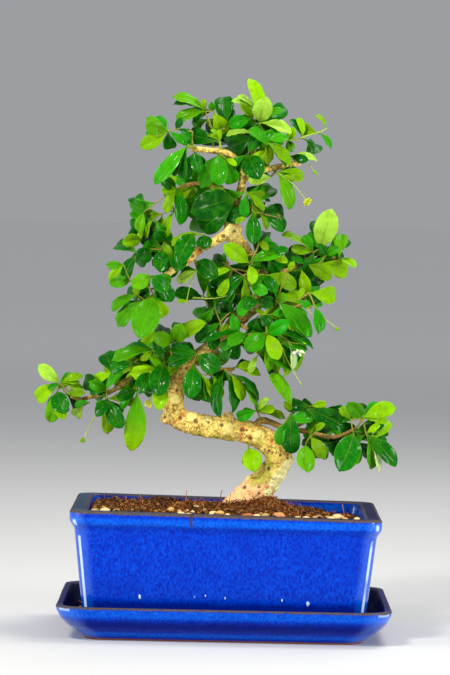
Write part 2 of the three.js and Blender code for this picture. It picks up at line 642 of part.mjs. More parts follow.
function woodDistance(point) {
  let nearest = Infinity;
  for (const line of woodLines) {
    for (let i = 0; i + 1 < line.length; i++) {
      const a = vec(...line[i]);
      const step = vec(...line[i + 1]).sub(a);
      const share = Math.min(1, Math.max(0, point.clone().sub(a).dot(step) / step.lengthSq()));
      const radius = line[i][3] + share * (line[i + 1][3] - line[i][3]);
      nearest = Math.min(nearest, point.distanceTo(a.addScaledVector(step, share)) - radius);
    }
  }
  return nearest;
}

const grown = []; // probe points of every leaf so far, with the shoot that carries them

// How much room a leaf has beyond what it needs
function room(leaf, shoot) {
  let least = Infinity;
  for (const [share, side] of probes) {
    const point = leafPoint(leaf, share, side);
    least = Math.min(least, woodDistance(point) - clearOfWood);
    for (const other of grown) {
      if (other.shoot === shoot && (share < 0.6 || other.share < 0.6)) continue;
      const need = other.shoot === shoot ? clearOfOwn : clearOfOthers;
      least = Math.min(least, point.distanceTo(other.point) - need);
    }
  }
  return least;
}

function settle(root, tip, width, shoot) {
  let best = null;
  let bestRoom = -Infinity;
  for (const bend of bends) {
    const leaf = makeLeaf(root, vec(tip.x, tip.y + bend * bendStep, tip.z), width);
    const found = room(leaf, shoot);
    if (found > bestRoom) [best, bestRoom] = [leaf, found];
    if (found > 0) break;
  }
  for (const [share, side] of probes) grown.push({ point: leafPoint(best, share, side), share, shoot });
  return best;
}

// The same leaf bent otherwise, the smaller bends first, then swung a little, then shorter
function otherBends({ root, tip, width }) {
  const changes = [1, 0.85, 0.7].flatMap((share) => [0, 0.2, -0.2].map((swing) => ({ share, swing })));
  return changes.flatMap(({ share, swing }) => bends.map((bend) => {
    const way = tip.clone().sub(root).multiplyScalar(share).applyAxisAngle(vec(0, 1, 0), swing);
    way.y += 0.8 * bend * bendStep;
    return makeLeaf(root, way.add(root), width * share);
  }));
}

// How far a leaf leans in depth so that it keeps its own proportions
function lean(length, width) {
  const trueLength = leafLengthPerWidth * width;
  return Math.min(length, Math.sqrt(Math.max(0, trueLength ** 2 - length ** 2)));
}

// Joints of a shoot form a tree: a new one hangs on the nearest that is there already
function jointTree(rootPlace) {
  const root = { place: rootPlace, stems: [], leaves: [], stalks: [] };
  const joints = [];
  const reach = (place) => {
    const away = (one) => one.place.distanceTo(place);
    const nearest = joints.reduce((best, one) => (away(one) < away(best) ? one : best), joints[0] ?? root);
    if (nearest !== root && away(nearest) < jointMerge) return nearest;
    const joint = { place, stems: [], leaves: [], stalks: [] };
    nearest.stems.push(joint);
    joints.push(joint);
    return joint;
  };
  return { root, joints, reach };
}

function growShoot({ root, depth, twigs, leaves, stalks = [] }, shoot) {
  const tree = jointTree(vec(...root));
  twigs.forEach(([x, z]) => tree.reach(vec(x, depth, z)));
  leaves.forEach(([x, z, tipX, tipZ, width], i) => {
    const seed = 100 * shoot + 3 * i;
    const start = tree.reach(vec(x, depth + 3 * (draw(seed) - 0.5), z));
    const shown = Math.hypot(tipX - start.place.x, tipZ - start.place.z);
    const toward = draw(seed + 1) < 0.6 ? -1 : 1;
    const tip = vec(tipX, start.place.y + toward * lean(shown, width), tipZ);
    start.leaves.push(settle(start.place, tip, width, shoot));
  });
  leaves.forEach(([x, z, tipX, tipZ, width], i) => {
    const seed = 100 * shoot + 3 * i + 50;
    if (width < 6 || draw(seed) > twinChance) return;
    const off = ({ place }) => Math.hypot(place.x - x, place.z - z);
    const start = tree.joints.reduce((best, one) => (off(one) < off(best) ? one : best));
    const turn = 0.35 * (draw(seed + 1) - 0.5);
    const [dx, dz] = [0.78 * (tipX - x), 0.78 * (tipZ - z)];
    const reach = Math.hypot(dx, dz) * (0.9 + 0.5 * draw(seed + 2));
    const { x: sx, y: sy, z: sz } = start.place;
    const tip = vec(sx + dx - turn * dz, sy + reach, sz + dz + turn * dx);
    start.leaves.push(settle(start.place, tip, 0.85 * width, shoot));
  });
  stalks.forEach(([x, z, tipX, tipZ, size], i) => {
    const start = tree.reach(vec(x, depth - 2 - i, z));
    start.stalks.push({ end: vec(tipX, start.place.y - 2, tipZ), calyx: size / 2 });
  });
  return tree;
}

function growRearShoot({ limb, count, leafLength }, shoot) {
  const [from, to] = limbs[limb].slice(-2).map(([x, y, z]) => vec(x, y, z));
  const way = to.clone().sub(from).normalize();
  const side = way.clone().cross(vec(0, 0, 1)).normalize();
  const up = side.clone().cross(way);
  const tree = jointTree(to.clone().addScaledVector(way, -1));
  for (let i = 0; i < count; i++) {
    const seed = 100 * shoot + 3 * i;
    const start = tree.reach(to.clone().addScaledVector(way, 3 + rearJointStep * Math.floor(i / 3)));
    const angle = i * goldenAngle;
    const ahead = 0.25 + (0.6 * i) / count;
    const direction = way.clone().multiplyScalar(ahead)
      .addScaledVector(side, Math.cos(angle))
      .addScaledVector(up, Math.sin(angle))
      .normalize();
    const length = leafLength * (0.75 + 0.4 * draw(seed));
    const tip = start.place.clone().addScaledVector(direction, length);
    start.leaves.push(settle(start.place, tip, length / 2.4, shoot));
  }
  return tree;
}

// Sections of a blade, each of right edge, upper midrib, left edge and lower midrib
function leafRings(leaf) {
  const { frame, trueWidth } = leaf;
  return leafOutline.map(([share, wide, lift]) => {
    const half = (leafThickness / 2) * (1.1 - 0.3 * share);
    const edge = frame.upper.clone().multiplyScalar(lift * trueWidth * 0.5);
    return [
      leafPoint(leaf, share, wide).add(edge),
      leafPoint(leaf, share, 0).addScaledVector(frame.upper, half),
      leafPoint(leaf, share, -wide).sub(edge),
      leafPoint(leaf, share, 0).addScaledVector(frame.upper, -half),
    ];
  });
}

function squareRing(place, along, radius) {
  const sideways = Math.abs(along.y) < 0.9 ? vec(0, 1, 0) : vec(1, 0, 0);
  const up = along.clone().cross(sideways).normalize();
  const across = up.clone().cross(along);
  return [[1, 0], [0, 1], [-1, 0], [0, -1]].map(([a, b]) =>
    place.clone().addScaledVector(across, a * radius).addScaledVector(up, b * radius));
}

// The four points of a port, turned so that each meets the nearest point of the next ring
function facing(port, ring) {
  const turned = (k) => port.map((_, i) => port[(i + k) % 4]);
  const twist = (points) => points.reduce((sum, point, i) => sum + point.distanceTo(ring[i]), 0);
  return [1, 2, 3].map(turned).reduce((best, one) => (twist(one) < twist(best) ? one : best), port);
}

const centreOf = (port) => port.reduce((sum, point) => sum.add(point), vec(0, 0, 0)).divideScalar(4);

function normalOf(port) {
  const across = port[2].clone().sub(port[0]);
  return across.cross(port[3].clone().sub(port[1])).normalize();
}

// Walls from a port through more rings, as triangles, with a tip or left open at the last ring
function walls(port, rings, tip) {
  const triangles = [];
  const all = [facing(port, rings[0]), ...rings];
  for (let i = 0; i + 1 < all.length; i++) {
    for (let j = 0; j < 4; j++) {
      const [a, b, c, d] = [all[i][j], all[i][(j + 1) % 4], all[i + 1][(j + 1) % 4], all[i + 1][j]];
      if (j % 2) triangles.push([a, b, d], [b, c, d]);
      else triangles.push([a, b, c], [a, c, d]);
    }
  }
  const last = all[all.length - 1];
  if (tip) last.forEach((point, j) => triangles.push([point, last[(j + 1) % 4], tip]));
  return triangles;
}

const lid = ([a, b, c, d]) => [[a, b, c], [a, c, d]];

const solidOf = (triangles) => solid(new THREE.BufferGeometry().setFromPoints(triangles.flat()));

// Whether an edge of one triangle passes through the other; an edge from a common corner doesn't count
function pierces(one, other) {
  const hit = vec(0, 0, 0);
  return one.some((point, i) => {
    const end = one[(i + 1) % 3];
    if (other.includes(point) || other.includes(end)) return false;
    const step = end.clone().sub(point);
    const ray = new THREE.Ray(point, step.clone().normalize());
    return ray.intersectTriangle(...other, false, hit) && hit.distanceTo(point) <= step.length();
  });
}

function trianglesMeet(one, other) {
  if (!one.box.intersectsBox(other.box)) return false;
  return pierces(one.corners, other.corners) || pierces(other.corners, one.corners);
}

const boxed = (triangles) => triangles.map((corners) => (
  { corners, box: new THREE.Box3().setFromPoints(corners) }));

// Whether two solids share more than a speck of space
function crosses(one, other) {
  const [a, b] = [one.boundingBox(), other.boundingBox()];
  if (a.min.some((low, i) => low > b.max[i]) || b.min.some((low, i) => low > a.max[i])) return false;
  return one.intersect(other).volume() > leastShared;
}

// A shoot grows as one skin: every stem, stalk and leaf leaves through a four-sided port of its joint
function shootSolid({ root }, barriers) {
  const skin = [];
  const joints = [];
  const openWalls = (port, rings, tip) => [
    ...walls(port, rings, tip),
    ...(tip ? [] : lid(rings[rings.length - 1])),
  ];
  const isClear = (port, rings, tip) => {
    const piece = boxed(openWalls(port, rings, tip));
    const openPorts = joints.flatMap((joint) => joint.ports.filter(({ points }) => points !== port));
    const others = [...skin, ...boxed(openPorts.flatMap(({ points }) => lid(points)))];
    const meets = (one, list) => list.some((other) => trianglesMeet(one, other));
    if (piece.some((one, i) => meets(one, piece.slice(0, i)) || meets(one, others))) return false;
    const body = solidOf([...openWalls(port, rings, tip), ...lid([...facing(port, rings[0])].reverse())]);
    return !barriers.some((other) => crosses(body, other));
  };
  const bestPorts = (joint, way) => {
    const score = ({ points, place }) => normalOf(points).dot(way) + 0.1 * place * joint.along.dot(way);
    return [...joint.ports].sort((a, b) => score(b) - score(a));
  };
  const use = (joint, port) => joint.ports.splice(joint.ports.indexOf(port), 1);

  const growStem = (port, joint) => {
    joint.along = joint.place.clone().sub(centreOf(port)).normalize();
    const held = joint.stems.length + joint.leaves.length + joint.stalks.length;
    const steps = held > 1 ? Math.ceil(held / 2) : 0;
    const room = joint.place.distanceTo(centreOf(port)) - stemRadius;
    const back = Math.min((steps * portStep) / 2, room);
    const rings = [];
    for (let i = 0; i <= steps; i++) {
      const place = joint.place.clone().addScaledVector(joint.along, i * portStep - back);
      rings.push(squareRing(place, joint.along, stemRadius));
    }
    skin.push(...boxed(walls(port, rings.slice(0, 1))));
    joint.ports = [{ points: rings[steps], place: steps / 2 }];
    for (let i = 0; i < steps; i++) {
      for (let j = 0; j < 4; j++) {
        const k = (j + 1) % 4;
        const points = [rings[i][j], rings[i][k], rings[i + 1][k], rings[i + 1][j]];
        joint.ports.push({ points, place: i - steps / 2 });
      }
    }
    joints.push(joint);
    for (const stem of joint.stems) {
      const [port] = bestPorts(joint, stem.place.clone().sub(joint.place).normalize());
      use(joint, port);
      growStem(port.points, stem);
    }
  };

  // A leaf or a stalk grows the first way that meets nothing else, and without such a way it is left out
  const growPart = (joint, ways) => {
    for (const { end, rings, tip } of ways) {
      const way = end.clone().sub(joint.place).normalize();
      for (const port of bestPorts(joint, way)) {
        if (normalOf(port.points).dot(way) < leastPortFacing) continue;
        if (!isClear(port.points, rings, tip)) continue;
        skin.push(...boxed(openWalls(port.points, rings, tip)));
        use(joint, port);
        return;
      }
    }
  };

  const leafWays = (leaf) => [leaf, ...otherBends(leaf)].map((blade) => (
    { end: blade.tip, rings: leafRings(blade), tip: leafPoint(blade, 1, 0) }));

  const stalkWays = (joint, stalk) => bends.map((bend) => {
    const end = stalk.end.clone().add(vec(0, bend * bendStep, 0));
    const way = end.clone().sub(joint.place).normalize();
    const cup = end.clone().addScaledVector(way, stalk.calyx);
    return { end, rings: [squareRing(end, way, stalkRadius), squareRing(cup, way, stalk.calyx)] };
  });

  const [first] = root.stems;
  const along = first.place.clone().sub(root.place).normalize();
  const start = squareRing(root.place, along, stemRadius);
  skin.push(...boxed(lid([...start].reverse())));
  growStem(start, first);
  for (const joint of joints) {
    for (const leaf of joint.leaves) growPart(joint, leafWays(leaf));
  }
  for (const joint of joints) {
    for (const stalk of joint.stalks) growPart(joint, stalkWays(joint, stalk));
  }
  for (const joint of joints) joint.ports.forEach(({ points }) => skin.push(...boxed(lid(points))));
  return solidOf(skin.map(({ corners }) => corners));
}

const leafLooks = [
  { color: 0x176b12, roughness: 0.3, metalness: 0 },
  { color: 0x2f8a14, roughness: 0.35, metalness: 0 },
  { color: 0x6fb414, roughness: 0.4, metalness: 0 },
];

const plans = [
  ...Object.entries(shoots).map(([name, plan], i) => [name, growShoot(plan, i)]),
  ...Object.entries(rearShoots).map(([name, plan], i) => [name, growRearShoot(plan, i + 60)]),
];

// Each shoot is one body, clear of every earlier one and cut clear of the wood
const earlier = [];
plans.forEach(([name, plan], i) => {
  const body = shootSolid(plan, [woodWithGap, ...earlier]).subtract(woodWithGap);
  earlier.push(body);
  bonsai.add(namedMesh("spray_" + name, body, leafLooks[i % leafLooks.length]));
});

export default bonsai;
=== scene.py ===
import math

import bpy
import numpy as np
from mathutils import Matrix, Vector, noise


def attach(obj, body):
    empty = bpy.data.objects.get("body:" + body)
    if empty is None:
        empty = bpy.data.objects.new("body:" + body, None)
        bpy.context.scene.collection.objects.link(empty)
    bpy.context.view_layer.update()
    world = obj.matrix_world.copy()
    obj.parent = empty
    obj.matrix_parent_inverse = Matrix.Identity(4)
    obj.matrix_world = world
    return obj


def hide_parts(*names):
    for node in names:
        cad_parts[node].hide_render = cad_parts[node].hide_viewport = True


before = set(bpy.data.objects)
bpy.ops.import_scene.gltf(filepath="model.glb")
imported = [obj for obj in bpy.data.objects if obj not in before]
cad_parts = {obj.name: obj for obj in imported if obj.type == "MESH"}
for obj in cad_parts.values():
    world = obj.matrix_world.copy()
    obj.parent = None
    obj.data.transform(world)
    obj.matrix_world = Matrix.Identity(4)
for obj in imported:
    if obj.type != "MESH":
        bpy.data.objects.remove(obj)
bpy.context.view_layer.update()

scene = bpy.context.scene
print("Frame loaded:", len(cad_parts), "nodes")

# Pieces are worked out in millimetres and turned into metres when they are made. The camera and the lamps
# are placed in metres. +X is to the right of the photograph, +Y away from the viewer and +Z up.

view = {
    "place": (-0.003, -2.376, 0.2832),
    "pitchDown": 0.038,
    "roll": 0.021,
    "lens": 193.3,
    "reach": 40,
}


def setCamera():
    data = bpy.data.cameras.new("photoCamera")
    data.lens = view["lens"]
    data.clip_end = view["reach"]
    camera = bpy.data.objects.new("photoCamera", data)
    turn = Matrix.Rotation(math.pi / 2 - view["pitchDown"], 4, "X") @ Matrix.Rotation(view["roll"], 4, "Z")
    camera.matrix_world = Matrix.Translation(view["place"]) @ turn
    scene.collection.objects.link(camera)
    scene.camera = camera


studio = {
    "skyColor": (0.93, 0.95, 1, 1),
    "skyStrength": 0.36,
    # name: place, point it faces, width, height, watts, colour
    "lamps": {
        "keyBox": ((-0.75, -1.25, 1.5), (0, 0, 0.2), 0.32, 0.32, 28, (1, 0.98, 0.9)),
        "rightStrip": ((1.3, -0.9, 0.38), (0, 0, 0.15), 0.4, 0.7, 21, (1, 1, 0.93)),
        "leftStrip": ((-1.4, -0.7, 0.5), (0, 0, 0.12), 0.45, 0.9, 15, (1, 1, 0.98)),
        "topBox": ((0.45, 0.15, 1.5), (0, 0, 0.25), 0.4, 0.4, 10, (1, 1, 0.95)),
        "backBox": ((0.5, 1.0, 1.5), (0, 0, 0.25), 0.8, 0.8, 7, (1, 1, 1)),
    },
}


def setLights():
    world = bpy.data.worlds.new("studioAir")
    world.use_nodes = True
    background = world.node_tree.nodes["Background"]
    background.inputs["Color"].default_value = studio["skyColor"]
    background.inputs["Strength"].default_value = studio["skyStrength"]
    scene.world = world
    scene.view_settings.view_transform = "Standard"
    scene.view_settings.look = "None"
    for name, (place, target, width, height, watts, color) in studio["lamps"].items():
        data = bpy.data.lights.new(name, "AREA")
        data.shape = "RECTANGLE"
        data.size, data.size_y = width, height
        data.energy = watts
        data.color = color
        lamp = bpy.data.objects.new(name, data)
        lamp.location = place
        lamp.rotation_euler = (Vector(target) - Vector(place)).to_track_quat("-Z", "Y").to_euler()
        scene.collection.objects.link(lamp)


class Wire:
    # One output socket, so that values can be worked out with plain arithmetic

    def __init__(self, paint, socket):
        self.paint = paint
        self.socket = socket

    def maths(self, operation, *values):
        return self.paint.add("ShaderNodeMath", {"operation": operation}, dict(enumerate(values)))

    def __add__(self, other):
        return self.maths("ADD", self, other)

    def __radd__(self, other):
        return self.maths("ADD", other, self)

    def __sub__(self, other):
        return self.maths("SUBTRACT", self, other)

    def __rsub__(self, other):
        return self.maths("SUBTRACT", other, self)

    def __mul__(self, other):
        return self.maths("MULTIPLY", self, other)

    def __rmul__(self, other):
        return self.maths("MULTIPLY", other, self)

    def __abs__(self):
        return self.maths("ABSOLUTE", self)

    def fraction(self):
        return self.maths("FRACT", self)

    def orMore(self, other):
        return self.maths("MAXIMUM", self, other)

    # 0 up to low, 1 from high on, and smooth between them
    def ramp(self, low, high):
        settings = {"interpolation_type": "SMOOTHSTEP"}
        inputs = {"Value": self, "From Min": low, "From Max": high}
        return self.paint.add("ShaderNodeMapRange", settings, inputs)

    # 1 as far as full from the middle and 0 from the reach on
    def band(self, middle, reach, full):
        return self.ramp(middle + reach, middle + full) * self.ramp(middle - reach, middle - full)


class Paint:
    # A material that is built node by node on its Principled shader

    def __init__(self, name, **constants):
        self.material = bpy.data.materials.new(name)
        self.material.use_nodes = True
        self.tree = self.material.node_tree
        self.shader = self.tree.nodes["Principled BSDF"]
        for socket, value in constants.items():
            self.shader.inputs[socket].default_value = value

    def add(self, kind, settings=None, inputs=None, output=0):
        node = self.tree.nodes.new(kind)
        for key, value in (settings or {}).items():
            setattr(node, key, value)
        for key, value in (inputs or {}).items():
            self.join(value, node.inputs[key])
        return Wire(self, node.outputs[output])

    def join(self, value, socket):
        if isinstance(value, Wire):
            self.tree.links.new(value.socket, socket)
        else:
            socket.default_value = value

    def finish(self, **values):
        for socket, value in values.items():
            self.join(value, self.shader.inputs[socket.replace("_", " ")])
        return self.material

    def place(self, scale=(1, 1, 1)):
        spot = self.add("ShaderNodeTexCoord", output="Object")
        return self.add("ShaderNodeVectorMath", {"operation": "MULTIPLY"}, {0: spot, 1: scale})

    def part(self, vector, axis):
        return self.add("ShaderNodeSeparateXYZ", inputs={0: vector}, output=axis)

    def parts(self, vector):
        return [self.part(vector, axis) for axis in "XYZ"]

    def mark(self, name, output="Color"):
        return self.add("ShaderNodeAttribute", {"attribute_name": name}, output=output)

    # size is in millimetres
    def cloud(self, size, detail=3, roughness=0.55, place=None):
        inputs = {"Vector": place or self.place(), "Scale": 1000 / size}
        return self.add("ShaderNodeTexNoise", inputs={**inputs, "Detail": detail, "Roughness": roughness})

    def cells(self, size, feature="F1", place=None):
        inputs = {"Vector": place or self.place(), "Scale": 1000 / size}
        return self.add("ShaderNodeTexVoronoi", {"feature": feature}, inputs, "Distance")

    def mix(self, factor, first, second):
        inputs = {0: factor, 6: asColor(first), 7: asColor(second)}
        return self.add("ShaderNodeMix", {"data_type": "RGBA"}, inputs, output=2)

    # depth is in millimetres
    def relief(self, height, depth, under=None):
        inputs = {"Height": height, "Distance": depth * 0.001, "Strength": 1}
        if under:
            inputs["Normal"] = under
        return self.add("ShaderNodeBump", inputs=inputs)


def asColor(value):
    return value if isinstance(value, Wire) else (*value, 1)


def draw(seed):
    # Repeatable random number between 0 and 1
    s = math.sin(seed * 12.9898) * 43758.5453
    return s - math.floor(s)


def pick(items, seed):
    return items[int(draw(seed) * (len(items) - 0.01))]


def markPoints(mesh, name, values):
    attribute = mesh.attributes.new(name, "FLOAT_COLOR", "POINT")
    attribute.data.foreach_set("color", values.astype("f").ravel())


class Shape:
    # Points and faces that are gathered before they become one piece

    def __init__(self):
        self.points = []
        self.faces = []
        self.kinds = []  # the material number of each face
        self.marks = {}
        self.count = 0

    def add(self, points, faces, kind=0, **marks):
        self.points.append(np.asarray(points, float))
        self.faces += [[self.count + i for i in face] for face in faces]
        self.kinds += [kind] * len(faces)
        for name, values in marks.items():
            values = np.asarray(values, float)
            if values.ndim == 1:
                values = np.tile(values, (len(points), 1))
            self.marks.setdefault(name, []).append(values)
        self.count += len(points)

    def mesh(self, name):
        mesh = bpy.data.meshes.new(name)
        mesh.from_pydata(np.concatenate(self.points) * 0.001, [], self.faces)
        for mark, values in self.marks.items():
            markPoints(mesh, mark, np.concatenate(values))
        mesh.polygons.foreach_set("material_index", self.kinds)
        return mesh

    def piece(self, name, finishes, slot, replaced, sharpAngle):
        return dress(self.mesh(name), name, finishes, replaced, sharpAngle)


def dress(mesh, name, finishes, replaced, sharpAngle):
    mesh.shade_smooth()
    mesh.set_sharp_from_angle(angle=math.radians(sharpAngle))
    for finish in finishes:
        mesh.materials.append(finish)
    piece = bpy.data.objects.new(name, mesh)
    scene.collection.objects.link(piece)
    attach(piece, "root")
    if replaced:
        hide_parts(*replaced)
    return piece


def wallFaces(rings, sides):
    # Quads between rings of points, and one face over each end
    faces = []
    for i in range(rings - 1):
        for j in range(sides):
            k = (j + 1) % sides
            faces.append([i * sides + j, i * sides + k, (i + 1) * sides + k, (i + 1) * sides + j])
    faces.append(list(range(sides))[::-1])
    faces.append([(rings - 1) * sides + j for j in range(sides)])
    return faces


def throughPoints(points, steps):
    # Smooth curve through the points, each with any number of values
    points = np.asarray(points, float)
    padded = np.vstack([2 * points[0] - points[1], points, 2 * points[-1] - points[-2]])
    result = []
    for i in range(1, len(padded) - 2):
        a, b, c, d = padded[i - 1:i + 3]
        for t in np.linspace(0, 1, steps, endpoint=False):
            square, cube = 2 * a - 5 * b + 4 * c - d, 3 * b - a - 3 * c + d
            result.append(0.5 * (2 * b + (c - a) * t + square * t * t + cube * t ** 3))
    result.append(points[-1])
    return np.array(result)


def tube(line, sides, wobble=0.0, seed=0):
    # Points of a tube along [x, y, z, radius] values, its rings square to the way
    line = np.asarray(line, float)
    way = line[:, :3]
    along = np.gradient(way, axis=0)
    along /= np.linalg.norm(along, axis=1)[:, None]
    points = []
    side = np.array([0, 1, 0]) if abs(along[0][1]) < 0.9 else np.array([1, 0, 0])
    for i, place in enumerate(way):
        up = np.cross(along[i], side)
        up /= np.linalg.norm(up)
        side = np.cross(up, along[i])
        for j in range(sides):
            angle = j * 2 * math.pi / sides
            radius = line[i][3] * (1 + wobble * (draw(seed + 7 * i + j) - 0.5))
            points.append(place + radius * (math.cos(angle) * side + math.sin(angle) * up))
    return np.array(points)


# Pot and tray

glazeLook = {
    "deep": (0.0, 0.005, 0.15),
    "blue": (0.0, 0.018, 0.365),
    "bright": (0.0, 0.053, 0.58),
    "streak": (0.004, 0.2, 0.95),
    "pale": (0.6, 0.8, 1.0),
    "slate": (0.03, 0.055, 0.1),
    "navy": (0.004, 0.006, 0.035),
    "broken": (0.05, 0.034, 0.03),
    "brokenPale": (0.1, 0.08, 0.075),
    "pinhole": (0.01, 0.015, 0.05),
    "bareClay": (0.24, 0.09, 0.04),
}


def glazeFinish(name, plan):
    # Deep blue glaze, mottled, brown where it runs off an arris, with a band of painted shade, dull slate and
    # navy on the lip as painted dark reflection on the pot and painted shade inside the tray, and a painted
    # highlight as a pale line down the corners; the marks say where it is worn (X), lip (Y) or corner (Z)
    look = glazeLook
    paint = Paint(name, **{"Coat Roughness": 0.03, "Specular IOR Level": 0.05})
    across, depth, height = (part * 1000 for part in paint.parts(paint.place()))
    worn, lip, corner = paint.parts(paint.mark("wear", "Vector"))
    fine = paint.cloud(0.8, 2, 0.6)
    runs = paint.cloud(1.4, 3, 0.6, paint.place((1, 1, 0.55)))
    tone = paint.mix(runs.ramp(0.36, 0.66), look["blue"], look["bright"])
    tone = paint.mix(fine.ramp(0.48, 0.34) * 0.3, tone, look["deep"])
    tone = paint.mix(paint.cloud(24, 3, 0.5).ramp(0.45, 0.65) * 0.35, tone, look["blue"])
    level = height + 4 * paint.cloud(7, 3) - 2
    # painted shade: a darker band with a wavy edge; on the pot near the tray's rim it is partly pooled glaze
    # and partly painted shade, on the tray it is painted shade where the wall faces the floor
    tone = paint.mix(level.band(plan["shade"], 6, 1) * 0.85, tone, look["deep"])
    mottle = 0.35 + 0.65 * paint.cloud(1.7, 3).ramp(0.4, 0.62)
    for middle, reach in plan["streaks"]:
        tone = paint.mix(height.band(middle, reach, 0.3 * reach) * mottle * 0.42, tone, look["streak"])
    tone = paint.mix(corner.ramp(0.2, 0.9) * 0.2, tone, look["streak"])
    # painted highlight: a narrow pale line down the middle of each corner, between the given heights
    for low, high, narrow in plan["paintedHighlight"]:
        thin = corner.ramp(narrow, narrow + 0.03) * height.ramp(low - 1, low + 1)
        thin = thin * height.ramp(high + 1, high - 1)
        thin = thin * paint.cloud(9, 3, place=paint.place((1, 1, 0.4))).ramp(0.3, 0.5)
        tone = paint.mix(thin * 0.75, tone, look["pale"])
    # On the pot's lip the dull slate, darker towards the right, is painted dark reflection; on the tray,
    # where the lip mark also covers the inner wall, the navy is painted shade in the gutter under the pot.
    slate = paint.mix(across.ramp(*plan["slateEnds"]), look["slate"], look["navy"])
    specks = paint.cells(1.1).ramp(0.3, 0.15) * paint.cloud(5).ramp(0.45, 0.6)
    covered = lip * (0.7 + paint.cloud(4, 3)).ramp(0.8, 1.1)
    tone = paint.mix(covered, tone, paint.mix(specks * 0.5, slate, tone))
    broken = (worn * (0.6 + paint.cloud(5, 3))).ramp(0.5, 0.85)
    tone = paint.mix(broken, tone, paint.mix(fine.ramp(0.3, 0.7), look["broken"], look["brokenPale"]))
    pinholes = paint.cells(3.4).ramp(0.09, 0.05) * paint.cloud(14).ramp(0.5, 0.62)
    tone = paint.mix(pinholes * 0.6, tone, look["pinhole"])
    if "notch" in plan:
        x, z, front = plan["notch"]
        chip = abs(across - x).ramp(1.1, 0.6) * height.ramp(z, z + 1) * depth.ramp(front, front - 2)
        tone = paint.mix(chip * 0.9, tone, look["broken"])
        broken = broken.orMore(chip)
    clay = height.ramp(plan["foot"] + 1.3, plan["foot"] + 0.5)
    tone = paint.mix(clay, tone, look["bareClay"])
    relief = paint.relief(paint.cloud(9, 2), 0.16)
    relief = paint.relief(paint.cloud(1.3, 2), 0.02, relief)
    dull = broken.orMore(lip * 0.8)
    return paint.finish(
        Base_Color=tone,
        Roughness=0.14 + 0.5 * dull + 0.5 * clay + 0.05 * fine,
        Coat_Weight=(1 - clay) * (1 - dull) * (0.06 + 0.9 * corner),
        Normal=relief,
    )


pot = {
    "length": 200,
    "depth": 150,
    "height": 82,
    "rimDrop": 1.3,
    "underside": 10.5,
    # inset from the rim, corner radius, height, how worn the glaze is there and how much it is lip
    "profile": [
        (11.5, 9, 10.5, 0.4, 0), (9.5, 10, 12.5, 0.2, 0), (8.5, 10, 20, 0, 0), (3.2, 10, 70, 0, 0),
        (1.8, 10.5, 72.5, 0.1, 0), (0, 11, 75, 0.2, 0), (0, 11, 79.6, 0.3, 0), (0, 11, 81, 0.8, 0.2),
        (0.8, 10.5, 82, 1, 0.7), (2.3, 10, 82, 0.35, 1), (8.2, 7, 82, 0.35, 1), (9.8, 6, 82, 0.9, 0.8),
        (10.8, 5.5, 80.5, 0.4, 0.2), (12.5, 5, 70, 0.1, 0), (15.5, 5, 16, 0, 0),
    ],
    # middle, radius and length of each drainage hole
    "holes": [((-45, 0, 13), 6, 20), ((45, 0, 13), 6, 20)],
    # half length, half depth and corner radius, where they stand, and scale and height of their rings
    "padSize": (13, 10, 3),
    "padPlaces": [(71, 49), (71, -49), (-71, 49), (-71, -49)],
    "padRings": [(0.94, 8.3), (1, 9.0), (1, 11.6)],
    # heights of the bare foot, of the band of painted shade and of the bright ones with their reach
    "foot": 10,
    "shade": 22,
    "streaks": [(76.5, 3.5)],
    # where the painted highlight runs as a pale line down the corners: low, high and how narrow
    "paintedHighlight": [(0, 67, 0.966), (74, 77.5, 0.955)],
    # x where the lip's painted reflection goes from slate to navy
    "slateEnds": (-60, 95),
    "notch": (-22, 74.2, -69),  # chip in the lip's lower edge: x, height and how far in front
    # x, height and half width of the drops that the glaze ran into near the foot
    "drops": [
        (-54, 28.4, 1.2), (53.5, 26.2, 1.3), (-19, 29, 0.7), (37, 28, 0.7), (0.5, 28.6, 0.6), (-12, 30, 0.5),
    ],
}

tray = {
    "length": 215.5,
    "depth": 165.8,
    # the lip column runs on over the inner wall, which gets the navy of painted shade
    "profile": [
        (18.4, 14, 0, 0.3, 0), (17.4, 15, 1.2, 0.3, 0), (12.6, 15.5, 5, 0, 0), (7, 16, 9.5, 0, 0),
        (2.9, 17, 14.5, 0, 0), (0.5, 18, 19.5, 0.1, 0), (0, 18, 21.6, 0.7, 0.2), (0.6, 17.5, 22.5, 1, 0.8),
        (1.6, 16.9, 22.5, 0.5, 0.8), (3.2, 15.8, 22.5, 0.4, 0.8), (4, 15, 22.5, 0.9, 0.6),
        (5, 14.5, 20.5, 0.25, 1.1), (7.5, 13.5, 14.5, 0.1, 1.2), (13, 11, 8, 0.4, 1.2),
    ],
    "foot": 0.3,
    # painted shade across the middle of the tray's wall
    "shade": 10.5,
    "streaks": [(4.2, 2.2), (18.5, 4)],
    # painted highlight on the tray's corners just under its rim
    "paintedHighlight": [(20, 21.5, 0.88)],
    # all navy: painted shade
    "slateEnds": (-300, -200),
}


glazedWall = {
    "cornerSteps": 16,
    "sideSteps": 26,
    "unevenness": 0.0016,
    "unevenSize": 38,
    "easing": 1.3,
    "easingSteps": 4,
}


def untilted(x, z):
    return 0


def potTilt(x, z):
    # The rim drops a little to the right
    share = (z - pot["underside"]) / (pot["height"] - pot["underside"])
    return -pot["rimDrop"] * x * share / (pot["length"] / 2)


